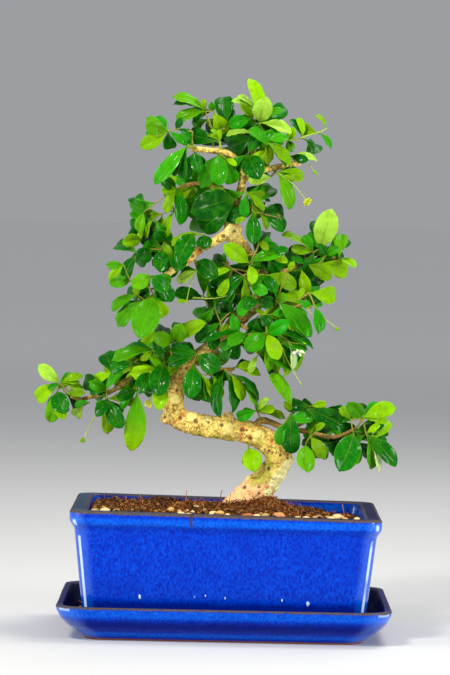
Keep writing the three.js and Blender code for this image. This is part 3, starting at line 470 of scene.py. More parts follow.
def roundedRing(halfX, halfY, corner, z, tilt, cornerSteps, sideSteps):
    ring = []
    for quarter in range(4):
        cx = (halfX - corner) * (1 if quarter in (0, 3) else -1)
        cy = (halfY - corner) * (1 if quarter < 2 else -1)
        for step in range(cornerSteps + 1):
            angle = (quarter + step / cornerSteps) * math.pi / 2
            ring.append((cx + corner * math.cos(angle), cy + corner * math.sin(angle)))
        lastX, lastY = ring[-1]
        nextX, nextY = (lastX, -cy) if quarter % 2 else (-cx, lastY)
        for step in range(1, sideSteps):
            share = step / sideSteps
            ring.append((lastX + (nextX - lastX) * share, lastY + (nextY - lastY) * share))
    return np.array([(x, y, z + tilt(x, z)) for x, y in ring])


def softened(profile):
    # The same profile with its corners eased
    values = np.asarray(profile, float)
    result = [values[0]]
    for before, corner, after in zip(values, values[1:], values[2:]):
        ends = []
        for other in (before, after):
            length = math.hypot(other[0] - corner[0], other[2] - corner[2])
            share = min(glazedWall["easing"], 0.45 * length) / length
            ends.append(corner + (other - corner) * share)
        for t in np.linspace(0, 1, glazedWall["easingSteps"]):
            result.append((1 - t) ** 2 * ends[0] + 2 * t * (1 - t) * corner + t * t * ends[1])
    result.append(values[-1])
    return result


def glazedWare(name, plan, tilt, finish, replaced, holes=()):
    rings, wear = [], []
    cornerSteps, sideSteps = glazedWall["cornerSteps"], glazedWall["sideSteps"]
    bends = [max(0, math.sin(math.pi * i / cornerSteps)) ** 0.7 for i in range(cornerSteps + 1)]
    bends += [0] * (sideSteps - 1)
    for inset, corner, z, worn, lip in softened(plan["profile"]):
        halfX, halfY = plan["length"] / 2 - inset, plan["depth"] / 2 - inset
        rings.append(roundedRing(halfX, halfY, corner, z, tilt, cornerSteps, sideSteps))
        wear += [[worn, lip, bend, 1] for bend in bends * 4]
    points = np.concatenate(rings)
    for point in points:  # the hand-pressed wall isn't quite even
        point[:2] *= 1 + glazedWall["unevenness"] * noise.noise(Vector(point) / glazedWall["unevenSize"])
    shape = Shape()
    shape.add(points, wallFaces(len(rings), len(rings[0])), wear=wear)
    piece = shape.piece(name, [finish], "glaze", replaced, 40)
    for hole in holes:
        cutHole(piece, *hole)


def cutHole(piece, center, radius, length):
    bpy.ops.mesh.primitive_cylinder_add(radius=radius * 0.001, depth=length * 0.001, vertices=32)
    cutter = bpy.context.object
    cutter.location = Vector(center) * 0.001
    bpy.context.view_layer.update()
    cut = piece.modifiers.new("drainHole", "BOOLEAN")
    cut.operation = "DIFFERENCE"
    cut.object = cutter
    dug = bpy.data.meshes.new_from_object(piece.evaluated_get(bpy.context.evaluated_depsgraph_get()))
    piece.modifiers.clear()
    piece.data = dug
    bpy.data.objects.remove(cutter)


def padFoot(x, y):
    ring = roundedRing(*pot["padSize"], 0, untilted, 4, 2)
    rings = [ring * [scale, scale, 1] + [x, y, z] for scale, z in pot["padRings"]]
    return np.concatenate(rings), wallFaces(len(rings), len(ring))


def makePotAndTray():
    glaze = glazeFinish("potGlaze", pot)
    glazedWare("potGlazed", pot, potTilt, glaze, ["pot"], pot["holes"])
    shape = Shape()
    for x, y in pot["padPlaces"]:
        shape.add(*padFoot(x, y), wear=[0.8, 0, 0, 1])
    low, high = pot["profile"][2:4]  # the foot and the top of the outer wall
    for x, z, size in pot["drops"]:
        wall = np.interp(z, (low[2], high[2]), (low[0], high[0])) - pot["depth"] / 2
        points, faces = pebblePoints((0, 0, 0), 1, x)
        points = np.array(points) * [size * 0.7, 0.75, size * 2] + [x, wall + 0.2, z]
        # the corner mark gives the drops the full coat and the painted highlight of the corners
        shape.add(points, faces, wear=[0, 0, 1, 1])
    shape.piece("potFeetAndDrops", [glaze], "glaze", [], 180)
    glazedWare("trayGlazed", tray, untilted, glazeFinish("trayGlaze", tray), ["drip_tray"])
    print("Pot and tray made")


# Wood: each limb is a list of [x, y, z, radius], and a smaller one grows from a larger one

trunk = {
    "line": [
        [7, 0, 66, 17], [11, 0, 78, 15], [16, -0.5, 87, 12.2], [21, -1, 94, 10.4], [26.5, -2, 101, 9],
        [31.5, -3, 108, 8.7], [33.6, -3.3, 114.5, 9.1], [31.5, -2.6, 120.5, 8.7], [26, -1, 125.6, 8.1],
        [19, 0.4, 128.8, 7.9], [9, 1.6, 131.6, 7.7], [-2, 2, 132.8, 7.5], [-14, 1, 134.6, 7.5],
        [-25, 0, 136.4, 7.4], [-32, -0.8, 138.8, 7.4], [-36, -1, 144.5, 7.3], [-35.6, -0.4, 152, 6.6],
        [-33.8, 0.6, 160, 5.5], [-31.5, 1, 168, 4.7], [-25, 0, 177, 4.6], [-14.5, -1, 185, 4.6],
        [-6.5, 0, 192, 4.6], [4, 1.5, 203, 4.7], [14, 3, 212.5, 4.8], [20.5, 2.6, 220, 4.8],
        [21, 1.4, 230, 4.6], [15.5, 0, 241, 4.3], [7.5, -1, 252, 4.4], [0.5, -1, 261, 5.2],
        [-0.4, 0, 269, 3.8], [2, 1, 277, 2.8], [3.5, 1, 285, 2.5], [6, 1, 294, 2.5],
        [5.6, 0.4, 303, 2.4], [1.5, 0, 310, 2.3], [-6, -1, 314.2, 2.2], [-17, -4, 315.2, 2.1],
        [-28, -8, 316, 2.1],
    ],
    # place and half sizes of knots, stubs and burrs
    "knots": [
        [39, -3, 113.5, 5.4, 5, 3.4], [-40, -1, 139, 4.2, 4.6, 4.4], [0.5, 1, 141, 4.2, 2.6, 3.6],
        [-30, 0, 142.5, 4, 3.6, 2.8], [23, 2, 217.5, 4.4, 3.6, 3.2], [2, -1, 264, 4.6, 4.4, 4],
        [6, -6, 85, 8, 6, 5], [24, 6, 86, 8, 8, 6], [-13, -4, 130.5, 4, 3, 3], [14, -4, 127, 5, 3, 3.4],
        [30, -8, 104, 4, 3, 5], [-36, -5, 150, 3, 2.5, 4],
    ],
    # sawn faces as [x, y, z, reach]
    "cuts": [[-29, -8, 316, 2], [45, 12, 308.5, 2.4], [22, 9, 328, 4], [1, -1, 145, 3]],
    "grain": 0.7,  # size of the faces that the thick wood is made of
    "sides": 20,
    "wobble": 0.1,
    "lumps": 0.8,
    "cracks": 0.6,
    # spots on the bark as [x, y, z, reach], in the order of the marks that carry them
    "spots": {
        "dark": [
            [-41.7, -4, 139.8, 1.9], [-31, -8, 140, 1.9], [-21, -7, 137.9, 2.3], [-12.6, -7, 137.4, 1.5],
            [-4, -6, 135.8, 2.2], [9.6, -6, 133, 2.7], [12.6, -6, 132.6, 1.2], [15, -6, 127.2, 2.4],
            [35, -12, 117.2, 1.6], [40, -9, 115, 1.4], [27, -10, 107.9, 2.1], [11.4, -7, 95.5, 2],
            [21.2, -10, 95.8, 2], [21.6, -11, 91.4, 1.8], [31.5, -8, 93.5, 1.4], [24, -9, 117, 1.6],
            [27, -10, 119.5, 1.5], [30.5, -9, 121.8, 1.4], [34, -8, 124, 1.3], [-36, -7, 148, 1.3],
            [-33.5, -5, 158, 1.6], [-28, -4, 172, 1.4], [5, -4, 204, 1.4], [19, -3, 226, 1.5],
            # from [-14, -8, 252] on the dark spots lie along the middle left limb and darken it: partly its
            # browner bark, partly painted shade
            [2, -6, 263, 1.6], [-5.5, -5, 259.5, 2.2], [-14, -8, 252, 1.6], [-20, -10, 250.5, 2],
            [-25, -12, 246, 2.2],
        ],
        "orange": [
            [10.7, -6, 138, 3], [10, -7, 134, 3.2], [9, -7, 129.5, 3], [8.6, -7, 125.5, 2.8],
            [-38, -6, 135.2, 2.2], [-35, -8, 137, 2.2], [-32, -8, 139, 2.2], [-29, -7, 141.8, 2.4],
            [-27, -6, 144.8, 2.6], [-40, -4, 134, 2], [29, -7, 126, 3.4], [14, -6, 129, 2.2],
            # the first three here darken the middle left limb: partly its browner bark, partly painted shade
            [-16, -9, 252.5, 3], [-22, -11, 249, 3.4], [-28, -13, 243, 3.4], [27, -10, 96, 2.6],
            [16, -9, 92, 3], [-33, -5, 165, 2.4],
        ],
        "cream": [
            [39.5, -8, 110.6, 4.5], [36.5, -9, 106, 4.8], [33.5, -9, 101.5, 4.8], [30.5, -9, 97, 4.6],
            [27.5, -9, 93, 4], [42, -4, 113.5, 4], [36, -5, 102, 4], [32, -4, 96.5, 4], [25, -2, 219, 5],
            [-35, -7, 152, 4], [-14, -7, 139, 4], [0, -7, 134, 4.5], [-24, -7, 141, 4], [20, -6, 130, 4],
            [0, -5, 262, 6], [16, -4, 214, 4],
        ],
        "algae": [
            [21.9, -9, 100.5, 5], [26, -10, 104.5, 5], [17.5, -8, 97.5, 3.4], [28, -11, 110, 4.5],
            [28, -10, 115, 3.6], [-8, -6, 127, 4], [-18, -6, 129, 4], [1, -5, 126, 4], [30, -6, 127, 4],
            [22, -5, 124.5, 4],
        ],
    },
}

limbs = {
    "topRight": [[6, 1, 297, 2.1], [10, 3, 309, 2.1], [15.5, 6, 321, 1.9], [19, 8, 327, 1.8]],
    "cutRight": [[6, 1, 296, 2.2], [13, 2, 300.5, 2.2], [22, 5, 303.5, 2.2], [44, 12, 308.5, 2.1]],
    "pinkTwig": [[3.5, 1, 286, 1.6], [-8, 4, 290, 1.5], [-23, 6, 293.5, 1.4], [-34, 8, 291, 1.2]],
    "midLeft": [
        [0, -1, 262, 3.6], [-10, -4, 256.5, 3], [-22, -8, 249.5, 2.8], [-28, -10, 243, 2.6],
        [-40, -14, 235, 2.2], [-50, -18, 224, 1.7],
    ],
    "midRight": [
        [19, 0.5, 233, 2.2], [28, 4, 235, 1.9], [37, 7, 237.5, 1.7], [50, 10, 243.5, 1.5],
        [56, 11, 244, 1.4], [64, 12, 247, 1.2], [75, 13, 244, 1],
    ],
    "lowLeft": [
        [-32.5, 1, 164, 2.2], [-46, 5, 167, 1.8], [-63, 8, 165, 1.6], [-77, 10, 155.5, 1.5],
        [-90, 12, 151.5, 1.4], [-98, 13, 149.5, 1.2], [-104, 13.5, 151.5, 1],
    ],
    "lowRight": [
        [15, 0, 131, 3], [21, -3, 138.5, 2.4], [27, -5, 138.5, 2], [37, -9, 135, 1.8],
        [52, -13, 133, 1.5], [69, -17, 130, 1.3], [84, -20, 136, 1.2],
    ],
    "redTwig": [[36, -8.7, 135, 1.3], [42.5, -12, 145.5, 1.1], [47.5, -14, 150.5, 1]],
    "hangingTwig": [[-25, 0, 177, 1.5], [-15, -8, 174, 1.3], [-3, -10, 172.5, 1.2], [4, -10, 173, 1]],
    "innerTwig": [[5, 1.5, 203, 1.5], [13, -8, 198.5, 1.3], [22, -14, 196, 1.2]],
    "elbowTwig": [[-32, 1, 167, 1.6], [-36.5, -4, 178, 1.3], [-38, -6, 187, 1]],
    "rightTwig": [[20.5, 2, 219, 1.6], [32, -8, 217, 1.3], [42, -14, 214, 1.2], [50, -18, 219, 1]],
    "rearTop": [[5.5, 1, 301, 1.8], [4, 12, 309, 1.4], [0, 22, 318, 1]],
    "rearUpper": [[0, 0, 266, 2.2], [-8, 16, 270, 1.6], [-16, 32, 279, 1]],
    "rearMiddle": [[20, 2, 222, 2.2], [27, 14, 226, 1.6], [36, 30, 230, 1]],
    "rearInner": [[-6, 0, 192, 2], [-8, 12, 199, 1.5], [-14, 24, 211, 1]],
    "rearLeft": [[-34, 1, 159, 2.2], [-44, 16, 163, 1.6], [-56, 33, 172, 1]],
    "rearRight": [[36, -8.6, 135, 1.7], [46, 6, 136, 1.4], [58, 22, 141, 1]],
}

thickLimbs = ["topRight", "cutRight", "midLeft"]
thinLimb = {
    "sides": 10,
    "wobble": 0.12,
    "swelling": 0.16,  # of the rings where leaves once stood
    "unevenness": 0.08,
    # how red the bark is
    "usualRed": 0.68,
    "reds": {"pinkTwig": 0.88, "redTwig": 0.88, "hangingTwig": 0.88, "lowRight": 0.88, "lowLeft": 0.42},
}

barkLook = {
    "tan": (0.5, 0.3, 0.035),
    "pale": (0.92, 0.69, 0.17),
    "cream": (1.0, 0.87, 0.33),
    # the bare strip's own pale wood, brightened as painted light
    "bare": (1.0, 0.97, 0.46),
    "peach": (0.93, 0.53, 0.29),
    "orange": (0.66, 0.24, 0.05),
    "fleck": (0.26, 0.125, 0.02),
    "crack": (0.25, 0.1, 0.02),
    "dark": (0.09, 0.045, 0.02),
    "algae": (0.45, 0.47, 0.05),
    "red": (0.13, 0.04, 0.013),
    "redPale": (0.25, 0.095, 0.028),
    "green": (0.26, 0.42, 0.03),
    "greenPale": (0.5, 0.6, 0.08),
    "cut": (0.9, 0.62, 0.42),
}


def barkFinish():
    # Pale corky bark with brown flecks, orange cracks and dark pits. The tint marks say where it is red (X),
    # green (Y) or cut (Z), and the spot marks where it is dark, orange, cream or grown over with algae.
    look = barkLook
    paint = Paint("bark", **{"Specular IOR Level": 0.18})
    height = paint.part(paint.place(), "Z") * 1000
    fine = paint.cloud(0.9, 3, 0.7)
    flecks = paint.cloud(1.9, 4, 0.7)
    patches = paint.cloud(7, 4, 0.65)
    tone = paint.mix(patches.ramp(0.4, 0.62), look["tan"], look["pale"])
    tone = paint.mix(flecks.ramp(0.42, 0.62), tone, look["pale"])
    tone = paint.mix(flecks.ramp(0.48, 0.37) * 0.9, tone, look["fleck"])
    tone = paint.mix(fine.ramp(0.5, 0.75) * 0.5, tone, look["cream"])
    flakes = paint.cells(3.2, "DISTANCE_TO_EDGE", paint.place((1, 1, 0.6)))
    crack = flakes.ramp(0.09, 0.01) * paint.cloud(9, 2).ramp(0.45, 0.6)
    tone = paint.mix(crack * 0.6, tone, look["crack"])
    rust = paint.cloud(11, 4, 0.7).ramp(0.62, 0.76)
    tone = paint.mix(rust * 0.5, tone, look["orange"])
    peach = paint.mix(flecks.ramp(0.48, 0.68), look["peach"], look["pale"])
    tone = paint.mix(height.ramp(102, 95) * 0.85, tone, peach)  # the flare is peach-coloured
    dark, orange, cream = paint.parts(paint.mark("spots", "Vector"))
    algae = paint.mark("spots", "Alpha")
    tone = paint.mix((algae * (0.4 + flecks)).ramp(0.2, 0.95) * 0.8, tone, look["algae"])
    peeled = paint.mix(fine.ramp(0.4, 0.62), look["pale"], look["cream"])
    # below 112 mm the peeled strip turns to the bare tone: its own pale wood, brightened as painted light
    # where the strip faces away from the key lamp
    peeled = paint.mix(height.ramp(118, 112), peeled, look["bare"])
    tone = paint.mix((cream * (0.25 + 1.2 * flecks)).ramp(0.2, 0.6) * 0.92, tone, peeled)
    tone = paint.mix((orange * (0.2 + 1.1 * flecks)).ramp(0.2, 0.75) * 0.85, tone, look["orange"])
    pits = paint.cells(2.1).ramp(0.3, 0.16) * paint.cloud(6, 2).ramp(0.52, 0.62)
    specks = paint.cells(0.9).ramp(0.24, 0.12) * paint.cloud(3).ramp(0.5, 0.58)
    pits = pits.orMore(specks * 0.8).orMore((dark * (0.1 + 1.3 * flecks)).ramp(0.3, 0.65))
    tone = paint.mix(pits * 0.88, tone, look["dark"])
    red, green, cut = paint.parts(paint.mark("tint", "Vector"))
    uneven = fine.ramp(0.35, 0.7)
    tone = paint.mix(red, tone, paint.mix(uneven, look["red"], look["redPale"]))
    tone = paint.mix(green * 0.95, tone, paint.mix(uneven, look["green"], look["greenPale"]))
    tone = paint.mix(cut * 0.9, tone, look["cut"])
    relief = paint.relief(patches, 0.5)
    relief = paint.relief(flecks, 0.55, relief)
    relief = paint.relief(fine - crack * 1.2 - pits, 0.25, relief)
    return paint.finish(Base_Color=tone, Roughness=0.62 + 0.3 * fine - 0.15 * green, Normal=relief)


def gatherSegments():
    # Start, way, start radius and radius gain of every stretch of every limb
    rows = []
    for line in [trunk["line"], *limbs.values()]:
        rows += [(a[:3], np.subtract(b[:3], a[:3]), a[3], b[3] - a[3]) for a, b in zip(line, line[1:])]
    return [np.array([row[i] for row in rows], float) for i in range(4)]


woodSegments = gatherSegments()


def woodDistance(points):
    # Distance of each point from the nearest wood, less its radius
    start, way, radius, gain = woodSegments
    offset = points[:, None] - start
    share = np.clip((offset * way).sum(2) / (way * way).sum(1), 0, 1)
    away = np.linalg.norm(offset - way * share[..., None], axis=2)
    return (away - radius - gain * share).min(1)


def thickWood():
    # Tubes and knots melted into one skin
    shape = Shape()
    for number, line in enumerate([trunk["line"], *(limbs[name] for name in thickLimbs)]):
        smooth = throughPoints(line, 6)
        points = tube(smooth, trunk["sides"], trunk["wobble"], 50 * number)
        shape.add(points, wallFaces(len(smooth), trunk["sides"]))
    core = bpy.data.objects.new("woodCore", shape.mesh("woodCore"))
    scene.collection.objects.link(core)
    parts = [core]
    for x, y, z, *halfSizes in trunk["knots"]:
        place = (x * 0.001, y * 0.001, z * 0.001)
        bpy.ops.mesh.primitive_ico_sphere_add(subdivisions=3, radius=0.001, location=place)
        bpy.context.object.scale = halfSizes
        parts.append(bpy.context.object)
    bpy.ops.object.select_all(action="DESELECT")
    for part in parts:
        part.select_set(True)
    bpy.context.view_layer.objects.active = core
    bpy.ops.object.join()
    melt = core.modifiers.new("melt", "REMESH")
    melt.mode = "VOXEL"
    melt.voxel_size = trunk["grain"] * 0.001
    soften = core.modifiers.new("soften", "SMOOTH")
    soften.factor = 0.5
    soften.iterations = 4
    melted = bpy.data.meshes.new_from_object(core.evaluated_get(bpy.context.evaluated_depsgraph_get()))
    bpy.data.objects.remove(core)
    return melted


def nearness(points, places):
    # 1 at the middle of the places and 0 from their reach on
    best = np.zeros(len(points))
    for x, y, z, reach in places:
        away = np.linalg.norm((points - [x, y, z]) * [1, 0.5, 1], axis=1)
        best = np.maximum(best, np.clip(1.25 * (1 - away / (1.3 * reach)), 0, 1))
    return best


def readPoints(mesh, key):
    read = np.empty(len(mesh.vertices) * 3)
    mesh.vertices.foreach_get(key, read)
    return read.reshape(-1, 3)


def barkLift(points):
    # How far lumps, flakes and cracks lift the skin of a full-grown trunk
    lift = np.empty(len(points))
    for i, point in enumerate(points):
        spot = Vector(point)
        lumps = noise.noise(spot / 9) + 0.6 * noise.noise(spot / 4) + 0.35 * noise.noise(spot / 1.7)
        crack = 1 - abs(noise.noise(Vector((spot.x, spot.y, spot.z * 0.6)) / 3.3)) * 5
        flake = noise.cell(Vector((spot.x / 3.4, spot.y / 3.4, spot.z / 5)))
        lift[i] = trunk["lumps"] * lumps - trunk["cracks"] * max(0, crack) + 0.16 * flake
    return lift


def makeTrunk(bark):
    mesh = thickWood()
    points, normals = readPoints(mesh, "co") * 1000, readPoints(mesh, "normal")
    line = np.array(trunk["line"])
    nearest = np.array([np.linalg.norm(line[:, :3] - point, axis=1).argmin() for point in points])
    strength = np.clip(line[nearest, 3] / 8, 0.25, 1)
    spots = np.stack([nearness(points, places) for places in trunk["spots"].values()], 1)
    tint = np.zeros((len(points), 4))
    tint[:, 2] = nearness(points, trunk["cuts"])
    lift = barkLift(points)
    lift += 0.5 * spots[:, 2] - 0.8 * spots[:, 0]  # cream patches are swollen, dark ones are pits
    points += normals * (lift * strength)[:, None]
    mesh.vertices.foreach_set("co", points.ravel() * 0.001)
    markPoints(mesh, "tint", tint)
    markPoints(mesh, "spots", spots)
    dress(mesh, "trunkWood", [bark], ["trunk"], 180)
    print("Trunk made:", len(points), "points")


def makeThinBranches(bark):
    shape = Shape()
    sides = thinLimb["sides"]
    for number, (name, limb) in enumerate(limbs.items()):
        if name in thickLimbs:
            continue
        smooth = throughPoints(limb, 7)
        for i, step in enumerate(smooth):
            uneven = thinLimb["unevenness"] * (draw(number * 31 + i) - 0.5)
            step[3] *= 1 + thinLimb["swelling"] * (i % 5 == 2) + uneven
        points = tube(smooth, sides, thinLimb["wobble"], 90 + number)
        tint = np.tile([thinLimb["reds"].get(name, thinLimb["usualRed"]), 0.1, 0, 0], (len(points), 1))
        paler = np.clip(np.linspace(0.55, 1.4, len(smooth)), 0, 1)  # near the trunk
        tint[:, 0] *= np.repeat(paler, sides)
        shape.add(points, wallFaces(len(smooth), sides), tint=tint, spots=[0, 0, 0, 0])
    shape.piece("thinBranches", [bark], "bark", [], 180)
    print("Thin branches made")


# Soil, its fibres and its pebbles

soil = {
    "level": 80.2,
    "clods": 1.5,
    "inset": 12.3,  # of its edge from the pot's rim
    "corner": 5,
    "cornerSteps": 3,
    "sideSteps": 54,
    "below": [(15.8, 17), (13, 69)],  # inset and height of the rings under the surface
    "surfaceRings": 58,
    # x, y, height and spread of the mounds, and of the hollow at the right
    "mounds": [
        (14, 2, 4.8, 34, 40), (26, -18, 7, 17, 14), (-22, -26, 5, 11, 12), (-48, 45, 2.5, 30, 40),
        (88, 35, -6, 24, 40),
    ],
}

peatLook = {
    "black": (0.004, 0.0015, 0.0007),
    "brown": (0.08, 0.023, 0.005),
    "dusty": (0.16, 0.05, 0.012),
    "strand": (0.36, 0.14, 0.04),
    "crumbShade": (0.02, 0.01, 0.005),
    "crumbLight": (0.6, 0.32, 0.1),
}


def soilHeight(x, y):
    waves = 1.2 * math.sin(x / 5.3 + y / 9) * math.cos(y / 6.1)
    height = soil["level"] - 0.012 * x - 0.024 * (y + 60) + waves
    for moundX, moundY, rise, wide, deep in soil["mounds"]:
        height += rise * math.exp(-((x - moundX) / wide) ** 2 - ((y - moundY) / deep) ** 2)
    return height


def soilTop(x, y):
    spot = Vector((x, y, 0))
    clods = noise.noise(spot / 5.5) + 0.55 * noise.noise(spot / 2.2) + 0.4 * noise.noise(spot / 1.1)
    return soilHeight(x, y) + soil["clods"] * clods


def soilFinish():
    look = peatLook
    paint = Paint("peat", **{"Specular IOR Level": 0.08})
    grains = paint.cloud(1.3, 4, 0.7)
    tone = paint.mix(grains.ramp(0.38, 0.62), look["black"], look["brown"])
    tone = paint.mix(paint.cloud(12, 3).ramp(0.45, 0.65) * 0.5, tone, look["dusty"])
    strands = paint.cells(1.6, "DISTANCE_TO_EDGE", paint.place((1, 0.4, 1)))
    tone = paint.mix(strands.ramp(0.08, 0.02) * 0.6, tone, look["strand"])
    return paint.finish(Base_Color=tone, Roughness=0.8 + 0.2 * grains, Normal=paint.relief(grains, 0.9))


def crumbFinish():
    # Each crumb, fibre or pebble carries its own colour
    look = peatLook
    paint = Paint("crumbs", **{"Specular IOR Level": 0.12})
    own = paint.mark("ownColor")
    fine = paint.cloud(0.5, 3, 0.7)
    tone = paint.mix(fine.ramp(0.35, 0.7) * 0.45, own, paint.mix(0.6, own, look["crumbShade"]))
    spots = paint.cloud(1.6, 2).ramp(0.5, 0.62)
    tone = paint.mix(spots * 0.3, tone, paint.mix(0.5, own, look["crumbLight"]))
    return paint.finish(Base_Color=tone, Roughness=0.7 + 0.25 * fine, Normal=paint.relief(fine, 0.12))


def soilRing(inset, z, tilt):
    halfX, halfY = pot["length"] / 2 - inset, pot["depth"] / 2 - inset
    return roundedRing(halfX, halfY, soil["corner"], z, tilt, soil["cornerSteps"], soil["sideSteps"])


def insidePot(x, y, margin):
    inset = soil["inset"] + margin
    return abs(x) < pot["length"] / 2 - inset and abs(y) < pot["depth"] / 2 - inset


def makeSoil():
    outline = soilRing(soil["inset"], 0, untilted)
    rings = [soilRing(inset, z, potTilt) for inset, z in soil["below"]]
    for share in np.linspace(1, 0.01, soil["surfaceRings"]):
        rings.append(np.array([(x * share, y * share, soilTop(x * share, y * share)) for x, y, _ in outline]))
    shape = Shape()
    shape.add(np.concatenate(rings), wallFaces(len(rings), len(outline)))
    shape.piece("peatSoil", [soilFinish()], "soil", ["soil"], 180)
    print("Soil made")


crumbs = {
    "count": 6500,
    "fallen": 48,
    "browns": [
        (0.012, 0.004, 0.001), (0.06, 0.017, 0.004), (0.16, 0.045, 0.01), (0.38, 0.15, 0.035),
        (0.008, 0.003, 0.001),
    ],
    # corners and faces of a crumb of size 1
    "corners": [
        (-1, -0.6, 0), (1, -0.4, 0.1), (0.8, 0.7, 0), (-0.9, 0.5, 0.1), (0.1, 0, 0.75), (0, 0.1, -0.6),
    ],
    "faces": [(0, 1, 4), (1, 2, 4), (2, 3, 4), (3, 0, 4), (1, 0, 5), (2, 1, 5), (3, 2, 5), (0, 3, 5)],
}


def makeCrumbs(finish):
    shape = Shape()
    for i in range(crumbs["count"]):
        x, y = 190 * (draw(i + 0.1) - 0.5), 140 * (draw(i + 0.37) - 0.5)
        if not insidePot(x, y, 1):
            continue
        size = 0.45 + 1.3 * draw(i + 0.61) ** 3
        z = soilTop(x, y) + 0.25 * size
        turn = Matrix.Rotation(6.3 * draw(i + 0.7), 3, "Z")
        turn = turn @ Matrix.Rotation(1.2 * (draw(i + 0.8) - 0.5), 3, "X")
        points = []
        for dx, dy, dz in crumbs["corners"]:
            points.append(Vector((x, y, z)) + turn @ Vector((dx * size, dy * size * 0.7, dz * size)))
        shape.add(points, crumbs["faces"], ownColor=(*pick(crumbs["browns"], i + 0.9), 1))
    shape.piece("peatCrumbs", [finish], "soil", [], 40)


def makeFallenPeat(finish):
    # Peat and a dead leaf or two that fell into the left side of the tray
    shape = Shape()
    for i in range(crumbs["fallen"]):
        x, y = -97.5 + 7 * draw(i + 0.21), -10 + 78 * draw(i + 0.33)
        ground = 8 + max(0, -94.75 - x) * 1.18
        size, brown = 0.6 + 0.5 * draw(i + 0.47), pick(crumbs["browns"], i + 0.9)
        if i % 12 == 0:
            size, brown = 1.9, crumbs["browns"][3]
        shape.add(*pebblePoints((x, y, ground + 0.4 * size), size, i + 7), ownColor=(*brown, 1))
    shape.piece("fallenPeat", [finish], "soil", [], 40)


fibres = {
    "count": 1500,
    "browns": [(0.24, 0.065, 0.014), (0.09, 0.025, 0.006), (0.42, 0.18, 0.05)],
    "points": 5,
    "sides": 4,
}


def fibreLine(x, y, i):
    # Points and radius along a fibre that lies on the soil, or is cut off at the pot's wall
    angle, length = 6.3 * draw(i + 0.3), 3 + 8 * draw(i + 0.55) ** 2
    stand = 0.9 if draw(i + 0.65) > 0.985 else 0.1 + 0.3 * draw(i + 0.6)
    line = []
    for step in np.linspace(0, 1, fibres["points"]):
        bend = angle + 1.1 * (draw(i + 0.75) - 0.5) * step
        px = x + math.cos(bend) * length * step * (1.1 - stand)
        py = y + math.sin(bend) * length * step * (1.1 - stand)
        if not insidePot(px, py, 1):
            px, py = line[-1][:2]
        lift = stand * length * (step if stand > 0.5 else math.sin(math.pi * step))
        line.append((px, py, soilTop(px, py) - 0.15 + lift, 0.13 + 0.13 * draw(i + 0.85)))
    return line


def makeFibres(finish):
    shape = Shape()
    for i in range(fibres["count"]):
        x, y = 186 * (draw(i + 0.15) - 0.5), 136 * (draw(i + 0.45) - 0.5)
        if i % 2 == 0:  # more of them on the mounds round the trunk
            x, y = 8 + 84 * (draw(i + 0.2) - 0.5), -12 + 60 * (draw(i + 0.5) - 0.5)
        if not insidePot(x, y, 4):
            continue
        line = fibreLine(x, y, i)
        if len({point[:2] for point in line}) < fibres["points"]:
            continue
        brown = pick(fibres["browns"], i + 0.95)
        points = tube(line, fibres["sides"])
        shape.add(points, wallFaces(fibres["points"], fibres["sides"]), ownColor=(*brown, 1))
    shape.piece("peatFibres", [finish], "soil", [], 180)


pebbles = {
    # x, y, size and colour of those that the front edge shows
    "shown": [
        (-84, -55, 1.9, 0), (-77.5, -58, 1.8, 1), (-70.5, -50, 2, 0), (-35.5, -40, 1.8, 4),
        (-29, -59, 2.3, 1), (-24, -58, 2.2, 1), (-8.3, -60, 1.7, 1), (-3.8, -59, 1.9, 4),
        (1, -60.5, 1.3, 1), (14, -57, 2.3, 3), (20, -60, 1.4, 1), (25, -60.5, 1.5, 0), (34, -52, 2.7, 2),
        (41, -60, 1.5, 1), (46, -58, 2, 1), (51.5, -60, 1.6, 1), (57, -60, 1.2, 0), (66, -53, 2.1, 0),
        (71.8, -46, 2.5, 1), (67.5, -59, 1.6, 1), (76.5, -54, 2, 4), (79, -59, 1.4, 3), (84, -58, 1.8, 1),
        (60, -50, 1.6, 0), (74, -38, 2.1, 1),
    ],
    "small": 60,
    "colors": [(0.5, 0.33, 0.13), (0.8, 0.62, 0.3), (0.62, 0.27, 0.1), (0.45, 0.14, 0.05), (0.7, 0.42, 0.12)],
    "sides": 9,
    "rings": 6,
}


def pebblePoints(center, size, seed):
    # Lumpy stone, turned any way and flatter than it is wide
    points, sides, rings = [], pebbles["sides"], pebbles["rings"]
    stretch = (1.25 + 0.3 * draw(seed), 1, 0.72)
    turn = draw(seed + 1) * math.pi
    for row in range(rings):
        tall = math.pi * (row + 0.25) / (rings - 0.5)
        wide = math.sin(tall)
        for j in range(sides):
            angle = j * 2 * math.pi / sides
            way = Vector((wide * math.cos(angle), wide * math.sin(angle), -math.cos(tall)))
            radius = size * (1 + 0.28 * noise.noise(way * 1.7 + Vector((seed, 0, 0))))
            x, y = way.x * stretch[0], way.y * stretch[1]
            points.append((center[0] + radius * (x * math.cos(turn) - y * math.sin(turn)),
                           center[1] + radius * (x * math.sin(turn) + y * math.cos(turn)),
                           center[2] + radius * way.z * stretch[2]))
    return points, wallFaces(rings, sides)


def makePebbles(finish):
    shape = Shape()
    colors = pebbles["colors"]
    for i, (x, y, size, color) in enumerate(pebbles["shown"]):
        place = (x, y, soilHeight(x, y) + 0.35 * size)
        shape.add(*pebblePoints(place, 1.3 * size, i), ownColor=(*colors[color], 1))
    for i in range(pebbles["small"]):
        x, y = 182 * (draw(i + 7.1) - 0.5), -61 + 118 * draw(i + 7.4) ** 2.2
        if not insidePot(x, y, 2.5):
            continue
        size = 0.7 + 0.8 * draw(i + 7.7)
        place = (x, y, soilTop(x, y) + 0.1)
        shape.add(*pebblePoints(place, size, i + 40), ownColor=(*pick(colors, i + 7.9), 1))
    shape.piece("pebbles", [finish], "soil", [], 180)
    print("Crumbs, fibres and pebbles made")


